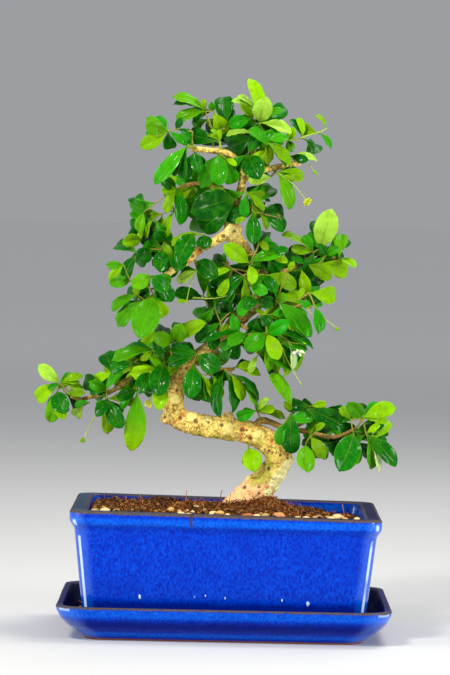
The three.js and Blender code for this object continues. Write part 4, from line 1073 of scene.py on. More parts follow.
# Leafy shoots. Each has its root on the wood, the depth at which its leaves sit (minus is nearer the
# viewer) and, seen from the front, the joints of its bare twigs as [x, z], its leaves as
# [root x, root z, tip x, tip z, width] and its flower stalks as [root x, root z, tip x, tip z, size].
# The tones are one letter a leaf: dark, middle, half light, green, turning (lime at its tip), light, olive,
# pale, whitish or shaded; pale and whitish are painted sheen, greens made paler where a leaf shines, and
# shaded is painted shade, a darker copy of dark.
# The ends are one letter a stalk: star of sepals, dry one, closed calyx, bud, flower or bare pistil.

shoots = {
    "top_left": {
        "root": [-26, -7.3, 316], "depth": -12, "twigs": [[-27, 327], [-38, 328.5]],
        "leaves": [
            [-43, 327, -57.5, 335.5, 8], [-43, 327, -57.5, 330, 8], [-43, 325, -60.5, 316, 10],
            [-43, 326, -41, 316, 9], [-40, 324, -32, 318, 5], [-38, 325, -27, 323, 4],
            [-34, 329, -34, 336, 5],
        ],
        "tones": "GGLDMDD",
    },
    "top_left_upper": {
        "root": [-13, -3, 315], "depth": 4, "twigs": [[-13, 326], [-17, 336]],
        "leaves": [
            [-19, 341, -41, 350, 7], [-19, 341, -40, 345, 4], [-19, 341, -20.5, 349, 4],
            [-19, 340, -38, 335, 8], [-19, 340, -27, 333.5, 5], [-14, 341, -15, 347, 5],
            [-6, 330, -7, 350.5, 13],
        ],
        "tones": "GDLGDMD",
    },
    "top_buds": {
        "root": [-9, -2, 314.5], "depth": -7,
        "leaves": [[-9, 321, -10, 329, 3], [-9, 321, -15, 329, 3], [-9, 320, -17, 325, 3]],
        "tones": "LLL",
    },
    "top": {
        "root": [16, 6.3, 322.5], "depth": 3, "twigs": [[17, 334]],
        "leaves": [
            [17, 336, 9.4, 363, 9.5], [17, 330, 21, 350, 13], [15, 341, 2, 351.5, 4], [13, 339, -2, 348, 4],
            [12, 337, 4, 346, 6], [20, 338, 32, 343, 5], [18, 331, 38, 328, 7],
        ],
        "tones": "LPPPOMP",
    },
    "top_front": {
        "root": [15, 5.7, 320], "depth": -8,
        "leaves": [
            [14, 326, -4, 318, 14.5], [16, 329, -5, 325, 4], [20, 322, 36, 324, 6], [22, 319, 37, 306, 7],
            [19, 322, 22, 306, 6], [24, 317, 35, 308, 5],
        ],
        "tones": "DPMOOO",
    },
    "young_shoot": {
        "root": [18.5, 7.6, 326], "depth": 12,
        "twigs": [[28, 321.5], [36, 323], [45, 325], [55, 328.5], [61, 331.5]],
        "leaves": [
            [36, 323, 39.5, 331.5, 6], [43.5, 325, 41.5, 338, 5], [41, 326, 37, 337, 5],
            [56, 329, 44.5, 331, 8.5], [60, 331, 53.5, 340, 3], [58, 329, 64, 318, 4],
            [36, 322, 38, 315, 6], [45, 324, 53, 315, 3],
        ],
        "tones": "LLDLLMGD",
    },
    "crown_right": {
        "root": [9.5, 2.7, 308], "depth": -7,
        "leaves": [[9, 313, 17, 297, 15], [8, 311, -2, 301, 6]],
        "tones": "DM",
    },
    "cut_branch_leaves": {
        "root": [29, 7.3, 305], "depth": 0,
        "leaves": [[25, 299, 10, 296, 8], [28.6, 302, 46.4, 299, 9], [28.5, 299, 38, 277.5, 9]],
        "stalks": [[30, 299, 49, 283, 3]], "ends": "S",
        "tones": "PLG",
    },
    "cut_branch_end": {
        "root": [41, 11, 308], "depth": 7,
        "leaves": [[38, 313, 49, 310, 6], [41, 314, 55, 309.5, 4]],
        "stalks": [[46, 311, 53, 303, 2]], "ends": "B",
        "tones": "DP",
    },
    "crown_left": {
        "root": [-23, -6.3, 315.7], "depth": -15,
        "leaves": [
            [-30, 318, -51, 292, 10], [-29, 316, -39, 298, 8], [-27, 316, -32, 296, 7],
            [-25, 314, -22, 300, 8],
        ],
        "tones": "MDDD",
    },
    "crown_middle": {
        "root": [-8, -1.5, 314.4], "depth": -10,
        "leaves": [
            [-9, 313, -21, 290, 11], [-6, 312, -9, 292, 12], [-5, 310, -6, 301, 4], [-5, 311, 2, 305, 4],
        ],
        "tones": "MMLL",
    },
    "upper_right": {
        "root": [5.5, 1, 292], "depth": -8, "twigs": [[9, 288], [13, 276]],
        "leaves": [
            [11, 288, 21.5, 286, 6.5], [8, 285, 8.5, 272, 7], [12, 285, 20.5, 276, 5],
            [13, 281, 18, 271.5, 6], [18, 275, 23, 264, 4], [13, 274, 14.5, 254.5, 10.5],
            [10, 272, 2, 268, 4],
        ],
        "stalks": [[17, 275, 30, 272.5, 3]], "ends": "D",
        "tones": "OMOOODL",
    },
    "fork_right": {
        "root": [12, -0.5, 246], "depth": -11, "twigs": [[15, 248]],
        "leaves": [
            [12, 242, -4.5, 254, 11], [14, 243, 33, 249, 8], [18, 256, 31, 252, 6], [16, 254, 24, 251, 5],
            [24, 246, 37, 252, 6], [28, 245, 37, 243, 5],
        ],
        "tones": "LMDODL",
    },
    "upper_left": {
        "root": [3, 1, 281], "depth": -9,
        "leaves": [[2, 284, -26, 275, 20], [0, 281, -20, 263, 16]],
        "tones": "SD",
    },
    "pink_twig_leaves": {
        "root": [-33, 7.8, 291], "depth": 7, "twigs": [[-37, 290], [-42, 286], [-50, 280.5]],
        "leaves": [
            [-36, 291, -47, 297, 8], [-36, 291, -47, 288, 7], [-36, 289, -43, 273, 7],
            [-38, 275, -43, 257, 7], [-35, 289, -34, 266, 9], [-46, 273, -55, 271, 7],
            [-58, 274, -61, 260, 7], [-51, 270, -56, 257, 4], [-57, 264, -62, 254, 4],
            [-59, 256, -71.5, 254, 9],
        ],
        "tones": "DLLLMOGLLL",
    },
    "middle_left_top": {
        "root": [-14, -5.3, 254], "depth": -14, "twigs": [[-18, 260]],
        "leaves": [[-22, 262, -39, 252, 5], [-24, 261, -38, 240, 14], [-16, 262, -18, 251, 10]],
        "tones": "ODD",
    },
    "middle_left_high": {
        "root": [-35, -12.4, 238.5], "depth": -8, "twigs": [[-40, 246]],
        "leaves": [
            [-45, 250, -46, 235, 11], [-33, 249, -36, 236, 11], [-52, 250, -62, 240, 11],
            [-61, 247, -70, 228, 9], [-44, 255, -50, 262, 8], [-43, 257, -40, 244, 6],
        ],
        "tones": "DDDDDO",
    },
    "middle_left_low": {
        "root": [-49, -17.6, 225.2], "depth": -23, "twigs": [[-52, 224]],
        "leaves": [
            [-50, 220, -59, 193, 18], [-56, 217, -73, 199, 10], [-60, 220, -77, 210, 7],
            [-57, 230, -62, 220, 5], [-49, 220, -43, 206, 9], [-53, 231, -57, 218, 8],
            [-51, 233, -41, 223, 10], [-65, 229, -79, 228, 8], [-70, 240, -81, 239.5, 6],
        ],
        "tones": "HHHOLDDHH",
    },
    "middle_left_inner": {
        "root": [-25, -9, 246], "depth": -15,
        "leaves": [[-22, 237, -35, 229, 7], [-23, 243, -9, 233, 12]],
        "stalks": [[-20, 236, -28.6, 216, 1.6]], "ends": "P",
        "tones": "PS",
    },
    "centre": {
        "root": [16.5, 0, 238], "depth": -13, "twigs": [[12, 236]],
        "leaves": [
            [1, 238, -12, 234, 5], [-1, 233, -8, 220, 7], [9, 238, -6, 217, 9], [8, 234, -1, 216, 7],
            [10, 233, 8, 216, 5], [12, 241, 14, 229, 7], [16, 236, 24, 228, 9], [22, 235, 30, 224, 8],
            [13, 228, 24, 223, 8], [17, 219, 28, 214, 6], [12, 222, 6, 208, 8],
        ],
        "stalks": [[5, 236, -3, 241, 3.5], [2, 222, -23, 219, 1.4]], "ends": "DP",
        "tones": "LLDMOLMDMDM",
    },
    "centre_left": {
        "root": [1, 1, 200], "depth": -9,
        "leaves": [
            [1, 210, -14, 199, 10], [-6, 203, -22, 190, 9], [-7, 196, -1, 202, 4], [-10, 213, -17, 203, 7],
        ],
        "tones": "DDLM",
    },
    "centre_low": {
        "root": [21, -13.4, 196.3], "depth": -18, "twigs": [[12, 196]],
        "leaves": [
            [24, 197, 17, 213, 4], [26, 209, 21, 202, 8], [18, 208, 14, 199, 8], [12, 198, -14, 190, 4],
            [7, 194, -6, 185, 7], [8, 193, 1, 179, 9], [3, 190, -4, 178, 6], [20, 197, 10, 187, 13],
            [24, 195, 32, 180, 10], [24, 195, 26, 171, 8], [19, 183, 14, 170.5, 5], [24, 199, 38, 205, 10],
            [30, 197, 54.5, 187, 5], [38, 192, 41, 172, 4],
        ],
        "stalks": [[33, 190, 47, 164.5, 1.6], [38, 190, 44, 186, 4], [38, 191, 47, 191, 1.8]], "ends": "PFB",
        "tones": "LDDDMDDMLGPMDW",
    },
    "middle_right": {
        "root": [54, 10.7, 243.8], "depth": 4, "twigs": [[54, 250]],
        "leaves": [
            [54, 252, 32.5, 261, 5], [54, 251, 47, 261, 6], [58, 252, 64.5, 278, 15.5], [62, 248, 58, 257, 6],
            [64, 248, 70, 254, 6], [58, 243, 77, 237, 12], [50, 242, 66, 233, 9], [50, 250, 39, 252, 7],
            [52, 246, 39, 246, 5], [46, 239, 50, 222, 8],
        ],
        "tones": "OMPDMLOODL",
    },
    "middle_right_end": {
        "root": [70, 12.5, 245.4], "depth": 10,
        "leaves": [[71, 246, 73, 262.5, 9.5], [74, 244, 81, 240, 5]],
        "tones": "GL",
    },
    "right_twig_start": {
        "root": [33, -8.6, 216.7], "depth": -14,
        "leaves": [
            [30, 218, 53.5, 195, 12], [38, 211, 50.5, 195, 7], [40, 208, 41, 198, 6], [37, 237, 41, 244, 4],
        ],
        "tones": "MMLL",
    },
    "right_twig_end": {
        "root": [48, -17, 217.8], "depth": -20,
        "leaves": [[51, 224, 68, 223, 12], [44, 219, 53, 214, 5], [45, 220, 47, 227, 4]],
        "stalks": [[54.5, 216, 69, 201.6, 2.2], [50, 214, 55, 207.7, 2.2]], "ends": "BB",
        "tones": "LML",
    },
    "elbow_top": {
        "root": [-38, -5.5, 185], "depth": -5,
        "leaves": [
            [-37, 189, -31, 202, 11], [-36, 189, -16, 203, 9], [-41, 190, -50, 195, 10],
            [-41, 188, -50, 186, 8],
        ],
        "tones": "GLGD",
    },
    "trunk_tuft": {
        "root": [-23, -1, 179], "depth": -11,
        "leaves": [
            [-21, 182, -39, 186, 8], [-22, 179, -40, 175, 9], [-20, 181, -6, 172, 13],
            [-23, 176, -25, 153.5, 12], [-18, 169, -15, 152, 4], [-15, 169, -11, 153, 4],
            [-11, 169, -7.5, 150, 7],
        ],
        "tones": "DDDDMLL",
    },
    "hanging_twig_leaves": {
        "root": [1, -10, 172.8], "depth": -12,
        "leaves": [
            [-3, 172, -6, 142, 8], [0, 170, 3, 144, 7], [1, 170, 9, 152, 7], [2, 170, 20, 152, 4],
            [5, 166, 18, 145.5, 4], [4, 174, 16, 176, 6], [5, 172, 21, 169, 6],
        ],
        "tones": "DDLDGLL",
    },
    "low_left_start": {
        "root": [-44, 4.4, 166.7], "depth": -7, "twigs": [[-45, 172]],
        "leaves": [
            [-46, 175, -65, 168, 11], [-50, 184, -77, 176, 8], [-47, 181, -58, 177, 5],
            [-62, 176, -78, 169, 8], [-43, 174, -47, 155, 15], [-52, 170, -58, 156, 11],
            [-41, 161, -46, 146, 10], [-42, 176, -49, 187, 5],
        ],
        "stalks": [[-47, 160, -52, 149, 3]], "ends": "S",
        "tones": "LHLDDDLD",
    },
    "low_left_hanging": {
        "root": [-62, 7.8, 165.1], "depth": 3,
        "leaves": [[-60, 157, -63, 116.5, 14.5], [-60, 160, -70, 144, 5], [-63, 160, -73, 152, 8]],
        "tones": "TMD",
    },
    "low_left_middle": {
        "root": [-79, 10.3, 154.9], "depth": 4,
        "leaves": [
            [-80, 156, -92, 163, 8], [-81, 155, -92, 157, 7], [-79, 156, -70, 169, 6],
            [-76, 167, -82, 180, 12], [-80, 151, -86, 140, 8], [-79, 151, -69, 132, 11],
            [-83, 146, -79, 127, 8],
        ],
        "stalks": [[-84, 148, -94, 125, 3]], "ends": "C",
        "tones": "MDMDDDL",
    },
    "low_left_twig": {
        "root": [-94, 12.5, 150.5], "depth": 8,
        "leaves": [[-95, 146, -101, 138, 8], [-91, 148, -101, 145, 4]],
        "tones": "PM",
    },
    "low_left_tip": {
        "root": [-103, 13.4, 151.2], "depth": 13,
        "leaves": [
            [-111, 160, -125, 172, 9], [-110, 160, -96, 164.5, 5], [-110, 159, -98, 161, 4],
            [-109, 157, -96, 155, 5], [-107, 153, -94, 154, 6], [-113, 158, -119, 156, 4],
            [-113, 155, -117, 134, 10], [-112, 149, -108, 136.5, 8], [-112, 156, -107, 141, 12],
        ],
        "tones": "PLLLOMGLD",
    },
    "low_right_start": {
        "root": [23, -3.7, 138.5], "depth": -10,
        "leaves": [
            [19, 146, 27, 154, 4], [20, 146, 31, 147.5, 6], [18, 145, 6, 141, 8], [23, 144, 38, 141, 5],
        ],
        "tones": "PLMO",
    },
    "trunk_underside": {
        "root": [14, 0, 125], "depth": 1,
        "leaves": [[14, 121, 18, 106.5, 13]],
        "tones": "L",
    },
    "red_twig_leaves": {
        "root": [46, -13.4, 149], "depth": -17,
        "leaves": [
            [42, 147, 27, 170.5, 9], [49, 149, 77.5, 137, 13], [54, 150, 64, 152, 5],
            [42, 144, 42, 118.5, 13], [40, 146, 36, 153, 5], [38, 140, 34, 124, 7],
        ],
        "tones": "GDLDOM",
    },
    "low_right_middle": {
        "root": [55, -13.7, 132.5], "depth": -18,
        "leaves": [
            [51, 125, 52.5, 107.5, 12], [54, 130, 64, 116, 9], [61, 127, 64, 115, 5], [57, 133, 63, 139, 4],
        ],
        "tones": "GODO",
    },
    "low_right_tip": {
        "root": [82, -19.5, 135], "depth": -24,
        "leaves": [
            [87, 143, 77, 154, 10], [80, 142, 73, 150, 6], [88, 145, 108.5, 151, 10.5],
            [90, 142, 98, 142.5, 4], [90, 133, 99, 139, 4], [94, 133, 110, 112, 10],
            [87, 134, 94.5, 110, 9], [92, 128, 98, 108, 4], [81.6, 134, 72.5, 110.5, 17],
            [84, 128, 84, 113, 6],
        ],
        "tones": "HOLLLDHWDO",
    },
}

# Limb, number of leaves and length of the leaves
rearShoots = {
    "rear_top": ("rearTop", 9, 23),
    "rear_upper": ("rearUpper", 11, 25),
    "rear_middle": ("rearMiddle", 11, 25),
    "rear_inner": ("rearInner", 8, 22),
    "rear_left": ("rearLeft", 10, 24),
    "rear_right": ("rearRight", 9, 23),
}

leaf = {
    "lengthPerWidth": 2.15,
    "widest": 11,
    "fold": 0.26,
    "arch": 0.1,
    "thickness": 0.42,
    # share of the length, share of the half width
    "outline": [
        (0, 0.05), (0.06, 0.07), (0.12, 0.17), (0.2, 0.36), (0.3, 0.6), (0.4, 0.79), (0.5, 0.92),
        (0.59, 0.99), (0.67, 1), (0.75, 0.965), (0.83, 0.87), (0.9, 0.73), (0.95, 0.55), (0.985, 0.32),
        (1, 0.08),
    ],
    # half widths of a slim leaf at the same shares, and from and to which length per width it slims
    "slimOutline": [0.05, 0.09, 0.2, 0.42, 0.66, 0.85, 0.96, 1, 0.98, 0.91, 0.77, 0.57, 0.37, 0.17, 0.04],
    "slimFrom": 2.3,
    "slimRange": 0.6,
    "columns": 8,
    "tones": {
        "D": (0.0, 0.098, 0.001),
        "M": (0.006, 0.225, 0.001),
        "L": (0.18, 0.405, 0.001),
        "O": (0.105, 0.245, 0.001),
        "G": (0.078, 0.275, 0.001),
        "T": (0.06, 0.25, 0.001),
        "H": (0.042, 0.21, 0.001),
        # painted sheen: pale and whitish greens where a leaf shines; then S, painted shade, a darker copy of
        # D
        "P": (0.29, 0.51, 0.04),
        "W": (0.5, 0.66, 0.28),
        "S": (0.0, 0.055, 0.001),
        "Y": (0.62, 0.66, 0.02),
        "B": (0.2, 0.09, 0.05),
        "F": (0.85, 0.88, 0.72),
    },
    "tipTones": {"T": (0.25, 0.47, 0.001)},
    "gloss": {
        "D": 1, "M": 0.75, "L": 0.3, "O": 0.35, "G": 0.4, "T": 0.4, "H": 0.4, "P": 0.6, "W": 0.9, "S": 0.7,
        "Y": 0.2, "B": 0, "F": 0,
    },
}

growth = {
    "jointMerge": 4.5,  # joints that are nearer than this are one
    "towardViewer": 0.6,  # share of the shown leaves that lean forward
    # the leaf behind a wide one: chance, least width, size, width and turn
    "twin": {"chance": 0.5, "from": 6, "size": 0.78, "width": 0.85, "turn": 0.35},
    "goldenAngle": 2.4,
    "rearJointStep": 4.5,
    "rearSlimness": 2.4,
    # where room is looked for on a blade: share of the length and of the half width
    "probes": [(0.3, 0), (0.5, 0.7), (0.5, -0.7), (0.72, 0.95), (0.72, 0), (0.72, -0.95), (1, 0)],
    "outerShare": 0.6,  # leaves of one shoot may touch below it
    "bendStep": 2.6,
    "bends": [0, 1, -1, 2, -2, 3, -3, 4, -4, 5, -5, 6, -6],
    "clearOfOthers": 3.4,
    "clearOfOwn": 1.9,
    "clearOfWood": 2,
    # a leaf hides the shown ones if it stands before more of their probes than it may
    "shownReach": 3,
    "shownDepth": 1,
    "mayHide": 1,
    "windowShare": 0.65,  # of its length: there too a filling leaf keeps clear of the windows
    "nearLean": 0.5,
    "nearGroup": 90,
    "nearSeed": 700,
    # the S leaves among the fillers are painted shade inside the crown
    "fillerTones": "DSDMDSML",
    "fillerSlimness": 2.2,
    "fillerRoom": -0.8,
    "coreTries": 14,
    "coreTones": "MGLMODLM",
}


def unit(vector):
    return vector / np.linalg.norm(vector)


def leafFrame(root, tip, width, trueWidth):
    # The ways along, up from and across a leaf that is rolled until it shows its width
    along = unit(tip - root)
    across = unit(np.cross(along, (0, 1, 0)))
    face = unit(np.cross(across, along))
    if face[1] > 0:
        face, across = -face, -across
    roll = math.acos(min(1, width / trueWidth)) * (1 if across[2] > 0 else -1)
    upper = face * math.cos(roll) + across * math.sin(roll)
    return along, upper, np.cross(upper, along)


class Leaf:
    def __init__(self, root, tip, width, tone, seed):
        self.root = root
        self.length = np.linalg.norm(tip - root)
        self.trueWidth = max(width, min(self.length / leaf["lengthPerWidth"], leaf["widest"]))
        self.along, self.upper, self.across = leafFrame(root, tip, width, self.trueWidth)
        self.tone, self.seed = tone, seed

    # Points of the blade's middle surface at shares of the length and of the half width
    def at(self, share, side):
        share, side = np.asarray(share, float), np.asarray(side, float)
        rise = leaf["fold"] * np.abs(side) * self.trueWidth * 0.5
        rise = rise + leaf["arch"] * self.length * (1 - (2 * share - 1) ** 2)
        return (self.root + share[..., None] * self.length * self.along
                + side[..., None] * self.trueWidth * 0.5 * self.across + rise[..., None] * self.upper)


probeShares, probeSides = (np.array(values) for values in zip(*growth["probes"]))
# Probes of all leaves so far, with their share of the length and the number of their shoot
grownPoints, grownShares, grownShoots = np.empty((0, 3)), np.empty(0), np.empty(0)
shownPoints = grownPoints  # those of the leaves that the photograph shows


def roomFor(blade, shoot):
    points = blade.at(probeShares, probeSides)
    least = (woodDistance(points) - growth["clearOfWood"]).min()
    if len(grownPoints):
        own = grownShoots == shoot
        away = np.linalg.norm(points[:, None] - grownPoints, axis=2)
        spare = away - np.where(own, growth["clearOfOwn"], growth["clearOfOthers"])
        inner = (probeShares[:, None] < growth["outerShare"]) | (grownShares < growth["outerShare"])
        least = min(least, np.where(own & inner, np.inf, spare).min())
    return least


def hides(blade):
    # Whether it stands before much of the leaves that were drawn from the front
    offset = blade.at(probeShares, probeSides)[:, None] - shownPoints
    close = np.hypot(offset[..., 0], offset[..., 2]) < growth["shownReach"]
    covered = close & (offset[..., 1] < growth["shownDepth"])
    return covered.any(0).sum() > growth["mayHide"]


def settle(root, tip, width, shoot, tone, seed, needed=None):
    # The leaf bent nearer or further in steps until it clears the wood and every other leaf
    global grownPoints, grownShares, grownShoots
    best, bestRoom = None, -math.inf
    for bend in growth["bends"]:
        blade = Leaf(root, tip + [0, bend * growth["bendStep"], 0], width, tone, seed)
        if needed is not None and hides(blade):
            continue
        found = roomFor(blade, shoot)
        if found > bestRoom:
            best, bestRoom = blade, found
        if found > 0:
            break
    if needed is not None and bestRoom < needed:
        return None
    grownPoints = np.vstack([grownPoints, best.at(probeShares, probeSides)])
    grownShares = np.append(grownShares, probeShares)
    grownShoots = np.append(grownShoots, [shoot] * len(probeShares))
    return best


def lean(length, width):
    # How far a leaf of this shown length and width leans to or from the viewer
    trueLength = leaf["lengthPerWidth"] * width
    return min(length, math.sqrt(max(0, trueLength ** 2 - length ** 2)))


class Joint:
    def __init__(self, place):
        self.place = np.array(place, float)
        self.stems, self.leaves, self.stalks = [], [], []


class Shoot:
    # Joints form a tree: a new one hangs on the nearest that is there already
    def __init__(self, root):
        self.root, self.joints = Joint(root), []

    def reach(self, *place):
        away = [np.linalg.norm(joint.place - place) for joint in self.joints]
        nearest = self.joints[int(np.argmin(away))] if away else self.root
        if away and min(away) < growth["jointMerge"]:
            return nearest
        joint = Joint(place)
        nearest.stems.append(joint)
        self.joints.append(joint)
        return joint

    # The joint that shows nearest to x and z
    def shownAt(self, x, z):
        return min(self.joints, key=lambda joint: math.hypot(joint.place[0] - x, joint.place[2] - z))


def growShoot(plan, number):
    tree, depth = Shoot(plan["root"]), plan["depth"]
    for x, z in plan.get("twigs", []):
        tree.reach(x, depth, z)
    for i, (x, z, tipX, tipZ, width) in enumerate(plan["leaves"]):
        seed = 100 * number + 3 * i
        start = tree.reach(x, depth + 3 * (draw(seed) - 0.5), z)
        shown = math.hypot(tipX - start.place[0], tipZ - start.place[2])
        toward = -1 if draw(seed + 1) < growth["towardViewer"] else 1
        tip = np.array([tipX, start.place[1] + toward * lean(shown, width), tipZ])
        start.leaves.append(settle(start.place, tip, width, number, plan["tones"][i], seed))
    growTwins(plan, tree, number)
    for i, (x, z, tipX, tipZ, size) in enumerate(plan.get("stalks", [])):
        start = tree.reach(x, depth - 2 - i, z)
        start.stalks.append((np.array([tipX, start.place[1] - 2, tipZ]), size / 2, plan["ends"][i]))
    return tree


def growTwins(plan, tree, number):
    twin = growth["twin"]
    for i, (x, z, tipX, tipZ, width) in enumerate(plan["leaves"]):
        seed = 100 * number + 3 * i + 50
        if width < twin["from"] or draw(seed) > twin["chance"]:
            continue
        start = tree.shownAt(x, z)
        turn = twin["turn"] * (draw(seed + 1) - 0.5)
        dx, dz = twin["size"] * (tipX - x), twin["size"] * (tipZ - z)
        back = math.hypot(dx, dz) * (0.9 + 0.5 * draw(seed + 2))
        tip = start.place + [dx - turn * dz, back, dz + turn * dx]
        start.leaves.append(settle(start.place, tip, twin["width"] * width, number, "MD"[i % 2], seed))


def growRearShoot(limb, count, leafLength, number):
    # Leaves in a golden spiral round the end of a limb
    start, end = (np.array(point[:3], float) for point in limbs[limb][-2:])
    way = unit(end - start)
    side = unit(np.cross(way, (0, 0, 1)))
    up = np.cross(side, way)
    tree = Shoot(end - way)
    for i in range(count):
        seed = 100 * number + 3 * i
        joint = tree.reach(*(end + way * (3 + growth["rearJointStep"] * (i // 3))))
        angle = i * growth["goldenAngle"]
        outward = side * math.cos(angle) + up * math.sin(angle)
        length = leafLength * (0.75 + 0.4 * draw(seed))
        for turned in (outward, -outward):  # the other side where it would show in a gap of the crown
            tip = joint.place + unit(way * (0.25 + 0.6 * i / count) + turned) * length
            if not inBoxes(tip, windows):
                width = length / growth["rearSlimness"]
                joint.leaves.append(settle(joint.place, tip, width, number, "DMML"[i % 4], seed))
                break
    return tree


# Leaves that fill a shoot out behind the shown ones: how many a joint gets, by the shoot's name
filling = {
    "usual": 2, "centre": 5, "centre_low": 5, "centre_left": 5, "fork_right": 5, "upper_right": 4,
    "middle_right": 3, "right_twig_start": 5, "trunk_tuft": 4, "crown_middle": 4, "crown_right": 4,
    "top_front": 4, "top": 3, "young_shoot": 0, "low_left_tip": 1, "trunk_underside": 0, "top_buds": 1,
    "low_left_twig": 0, "right_twig_end": 1,
}

# Where the crown is so dense that more leaves show between the others: left, right, bottom and top
crownCore = [
    (-10, 58, 166, 242), (-18, 32, 292, 336), (30, 72, 124, 146), (-60, -22, 172, 186), (-66, -34, 215, 250),
    (-92, -36, 146, 182), (-50, -20, 270, 300),
]
# Where bare wood or the air between the branches shows
windows = [
    (-31, -10, 204, 237), (-20, 18, 246, 268), (5, 12, 268, 300), (-46, -23, 128, 168), (-30, 48, 86, 144),
    (-38, -4, 311, 320), (24, 46, 301, 312), (62, 120, 152, 228), (41, 120, 150, 172), (-52, -34, 268, 290),
    (-120, -62, 180, 204),
]


# Leaves that stand before the wood: shoot, root x and z, tip x and z, width and tone
nearLeaves = [
    ("trunk_tuft", -20, 181, -6, 172, 13, "D"), ("low_left_start", -43, 174, -46, 155, 14, "D"),
    ("low_left_start", -46, 175, -65, 168, 10, "L"), ("centre_low", 20, 197, 10, 187, 12, "M"),
    ("centre", 12, 241, 14, 229, 7, "L"), ("centre_low", 10, 197, -2, 189, 8, "M"),
    ("centre_left", -3, 196, -13, 186, 8, "D"), ("centre_left", 1, 209, 4, 196, 7, "M"),
    ("centre", 20, 219, 9, 213, 8, "D"), ("right_twig_start", 28, 214, 37, 222, 7, "G"),
    ("middle_left_top", -22, 261, -35, 241, 13, "D"), ("middle_left_high", -35, 247, -42, 232, 10, "D"),
    ("middle_left_high", -50, 252, -61, 243, 11, "D"), ("middle_left_low", -53, 240, -64, 226, 10, "G"),
]


def growNearLeaves(trees):
    for i, (name, x, z, tipX, tipZ, width, tone) in enumerate(nearLeaves):
        joint = trees[name].shownAt(x, z)
        shown = math.hypot(tipX - joint.place[0], tipZ - joint.place[2])
        tip = np.array([tipX, joint.place[1] - growth["nearLean"] * lean(shown, width), tipZ])
        seed = growth["nearSeed"] + i
        joint.leaves.append(settle(joint.place, tip, width, growth["nearGroup"], tone, seed))


def inBoxes(point, boxes):
    return any(left < point[0] < right and low < point[2] < high for left, right, low, high in boxes)


def addFiller(joint, way, length, width, number, tone, seed, needed):
    shares = (1, growth["windowShare"])
    if any(inBoxes(joint.place + way * length * share, windows) for share in shares):
        return
    blade = settle(joint.place, joint.place + way * length, width, number, tone, seed, needed)
    if blade:
        joint.leaves.append(blade)


def fillShoot(name, tree, number):
    tones = growth["fillerTones"]
    for j, joint in enumerate(tree.joints):
        for i in range(filling.get(name, filling["usual"])):
            seed = 5000 + 90 * number + 13 * j + i
            angle = 6.283 * draw(seed)
            length = 17 + 9 * draw(seed + 0.3)
            width = length / growth["fillerSlimness"]
            back = 0.45 + 0.8 * draw(seed + 0.6)
            way = unit(np.array([math.cos(angle), back, 0.8 * math.sin(angle) - 0.1]))
            tone = tones[int(8 * draw(seed + 0.8))]
            addFiller(joint, way, length, width, number, tone, seed, growth["fillerRoom"])


def thickenCrown(tree, number):
    tones = growth["coreTones"]
    for j, joint in enumerate(tree.joints):
        for i in range(growth["coreTries"]):
            seed = 9000 + 190 * number + 17 * j + i
            angle = 6.283 * draw(seed)
            length = 18 + 10 * draw(seed + 0.3)
            way = unit(np.array([math.cos(angle), 1.1 * draw(seed + 0.6) - 0.4, math.sin(angle)]))
            if inBoxes(joint.place + way * length, crownCore) and inBoxes(joint.place, crownCore):
                width = length * (0.29 + 0.15 * draw(seed + 0.9))
                tone = tones[int(8 * draw(seed + 0.8))]
                addFiller(joint, way, length, width, number, tone, seed, 0)


def bladePoints(blade):
    # Ring by ring: the upper face from one edge to the other, then the lower face back
    outline = np.array(leaf["outline"])
    slim = min(1, max(0, (blade.length / blade.trueWidth - leaf["slimFrom"]) / leaf["slimRange"]))
    outline[:, 1] += slim * (np.array(leaf["slimOutline"]) - outline[:, 1])
    columns = leaf["columns"]
    seed, half = blade.seed, blade.trueWidth * 0.5
    notch = 0.05 + 0.04 * draw(seed + 11)
    sides = np.linspace(1, -1, columns + 1)
    share = np.repeat(outline[:, :1], columns + 1, 1)
    side = outline[:, 1:] * sides
    # the tip is a little squared off, with a tooth on either side of the midrib on some leaves
    tooth = 0.01 + notch * (draw(seed + 12) < 0.22)
    share = share - tooth * np.abs(sides) ** 1.5 * np.clip((share - 0.85) / 0.15, 0, 1)
    edge = np.abs(sides) ** 3
    waves = np.sin(share * (17 + 9 * draw(seed + 13)) + 6 * draw(seed + 14) + 2.2 * (sides > 0))
    lift = np.interp(outline[:, 0], (0.1, 0.3, 0.62, 0.9), (0, 0, 0.1, -0.12))[:, None] * side
    curl = 0.22 * (draw(seed + 15) - 0.3) * blade.length * np.clip(share - 0.45, 0, 1) ** 2
    rounding = 0.12 * (1 - (2 * np.abs(side) - 0.9) ** 2) * np.clip(outline[:, 1:], 0, 1)
    raised = (lift + 0.06 * waves * edge * outline[:, 1:] + rounding) * half - curl
    middle = blade.at(share, side) + raised[..., None] * blade.upper
    bend = 0.09 * (draw(seed + 16) - 0.5) * blade.length * np.sin(math.pi * share)
    middle = middle + bend[..., None] * blade.across
    thick = leaf["thickness"] * (1 - 0.75 * np.abs(sides) ** 4) * np.clip(1.15 - 0.4 * share, 0, 1)
    rib = 0.28 * np.exp(-(side * half / 0.5) ** 2) * (1 - 0.75 * share)
    top = middle + (thick * 0.5 - 0.25 * rib)[..., None] * blade.upper
    under = middle - (thick * 0.5 + rib)[..., None] * blade.upper
    return np.concatenate([top, under[:, ::-1]], 1), share, np.tile(sides, (len(outline), 1))


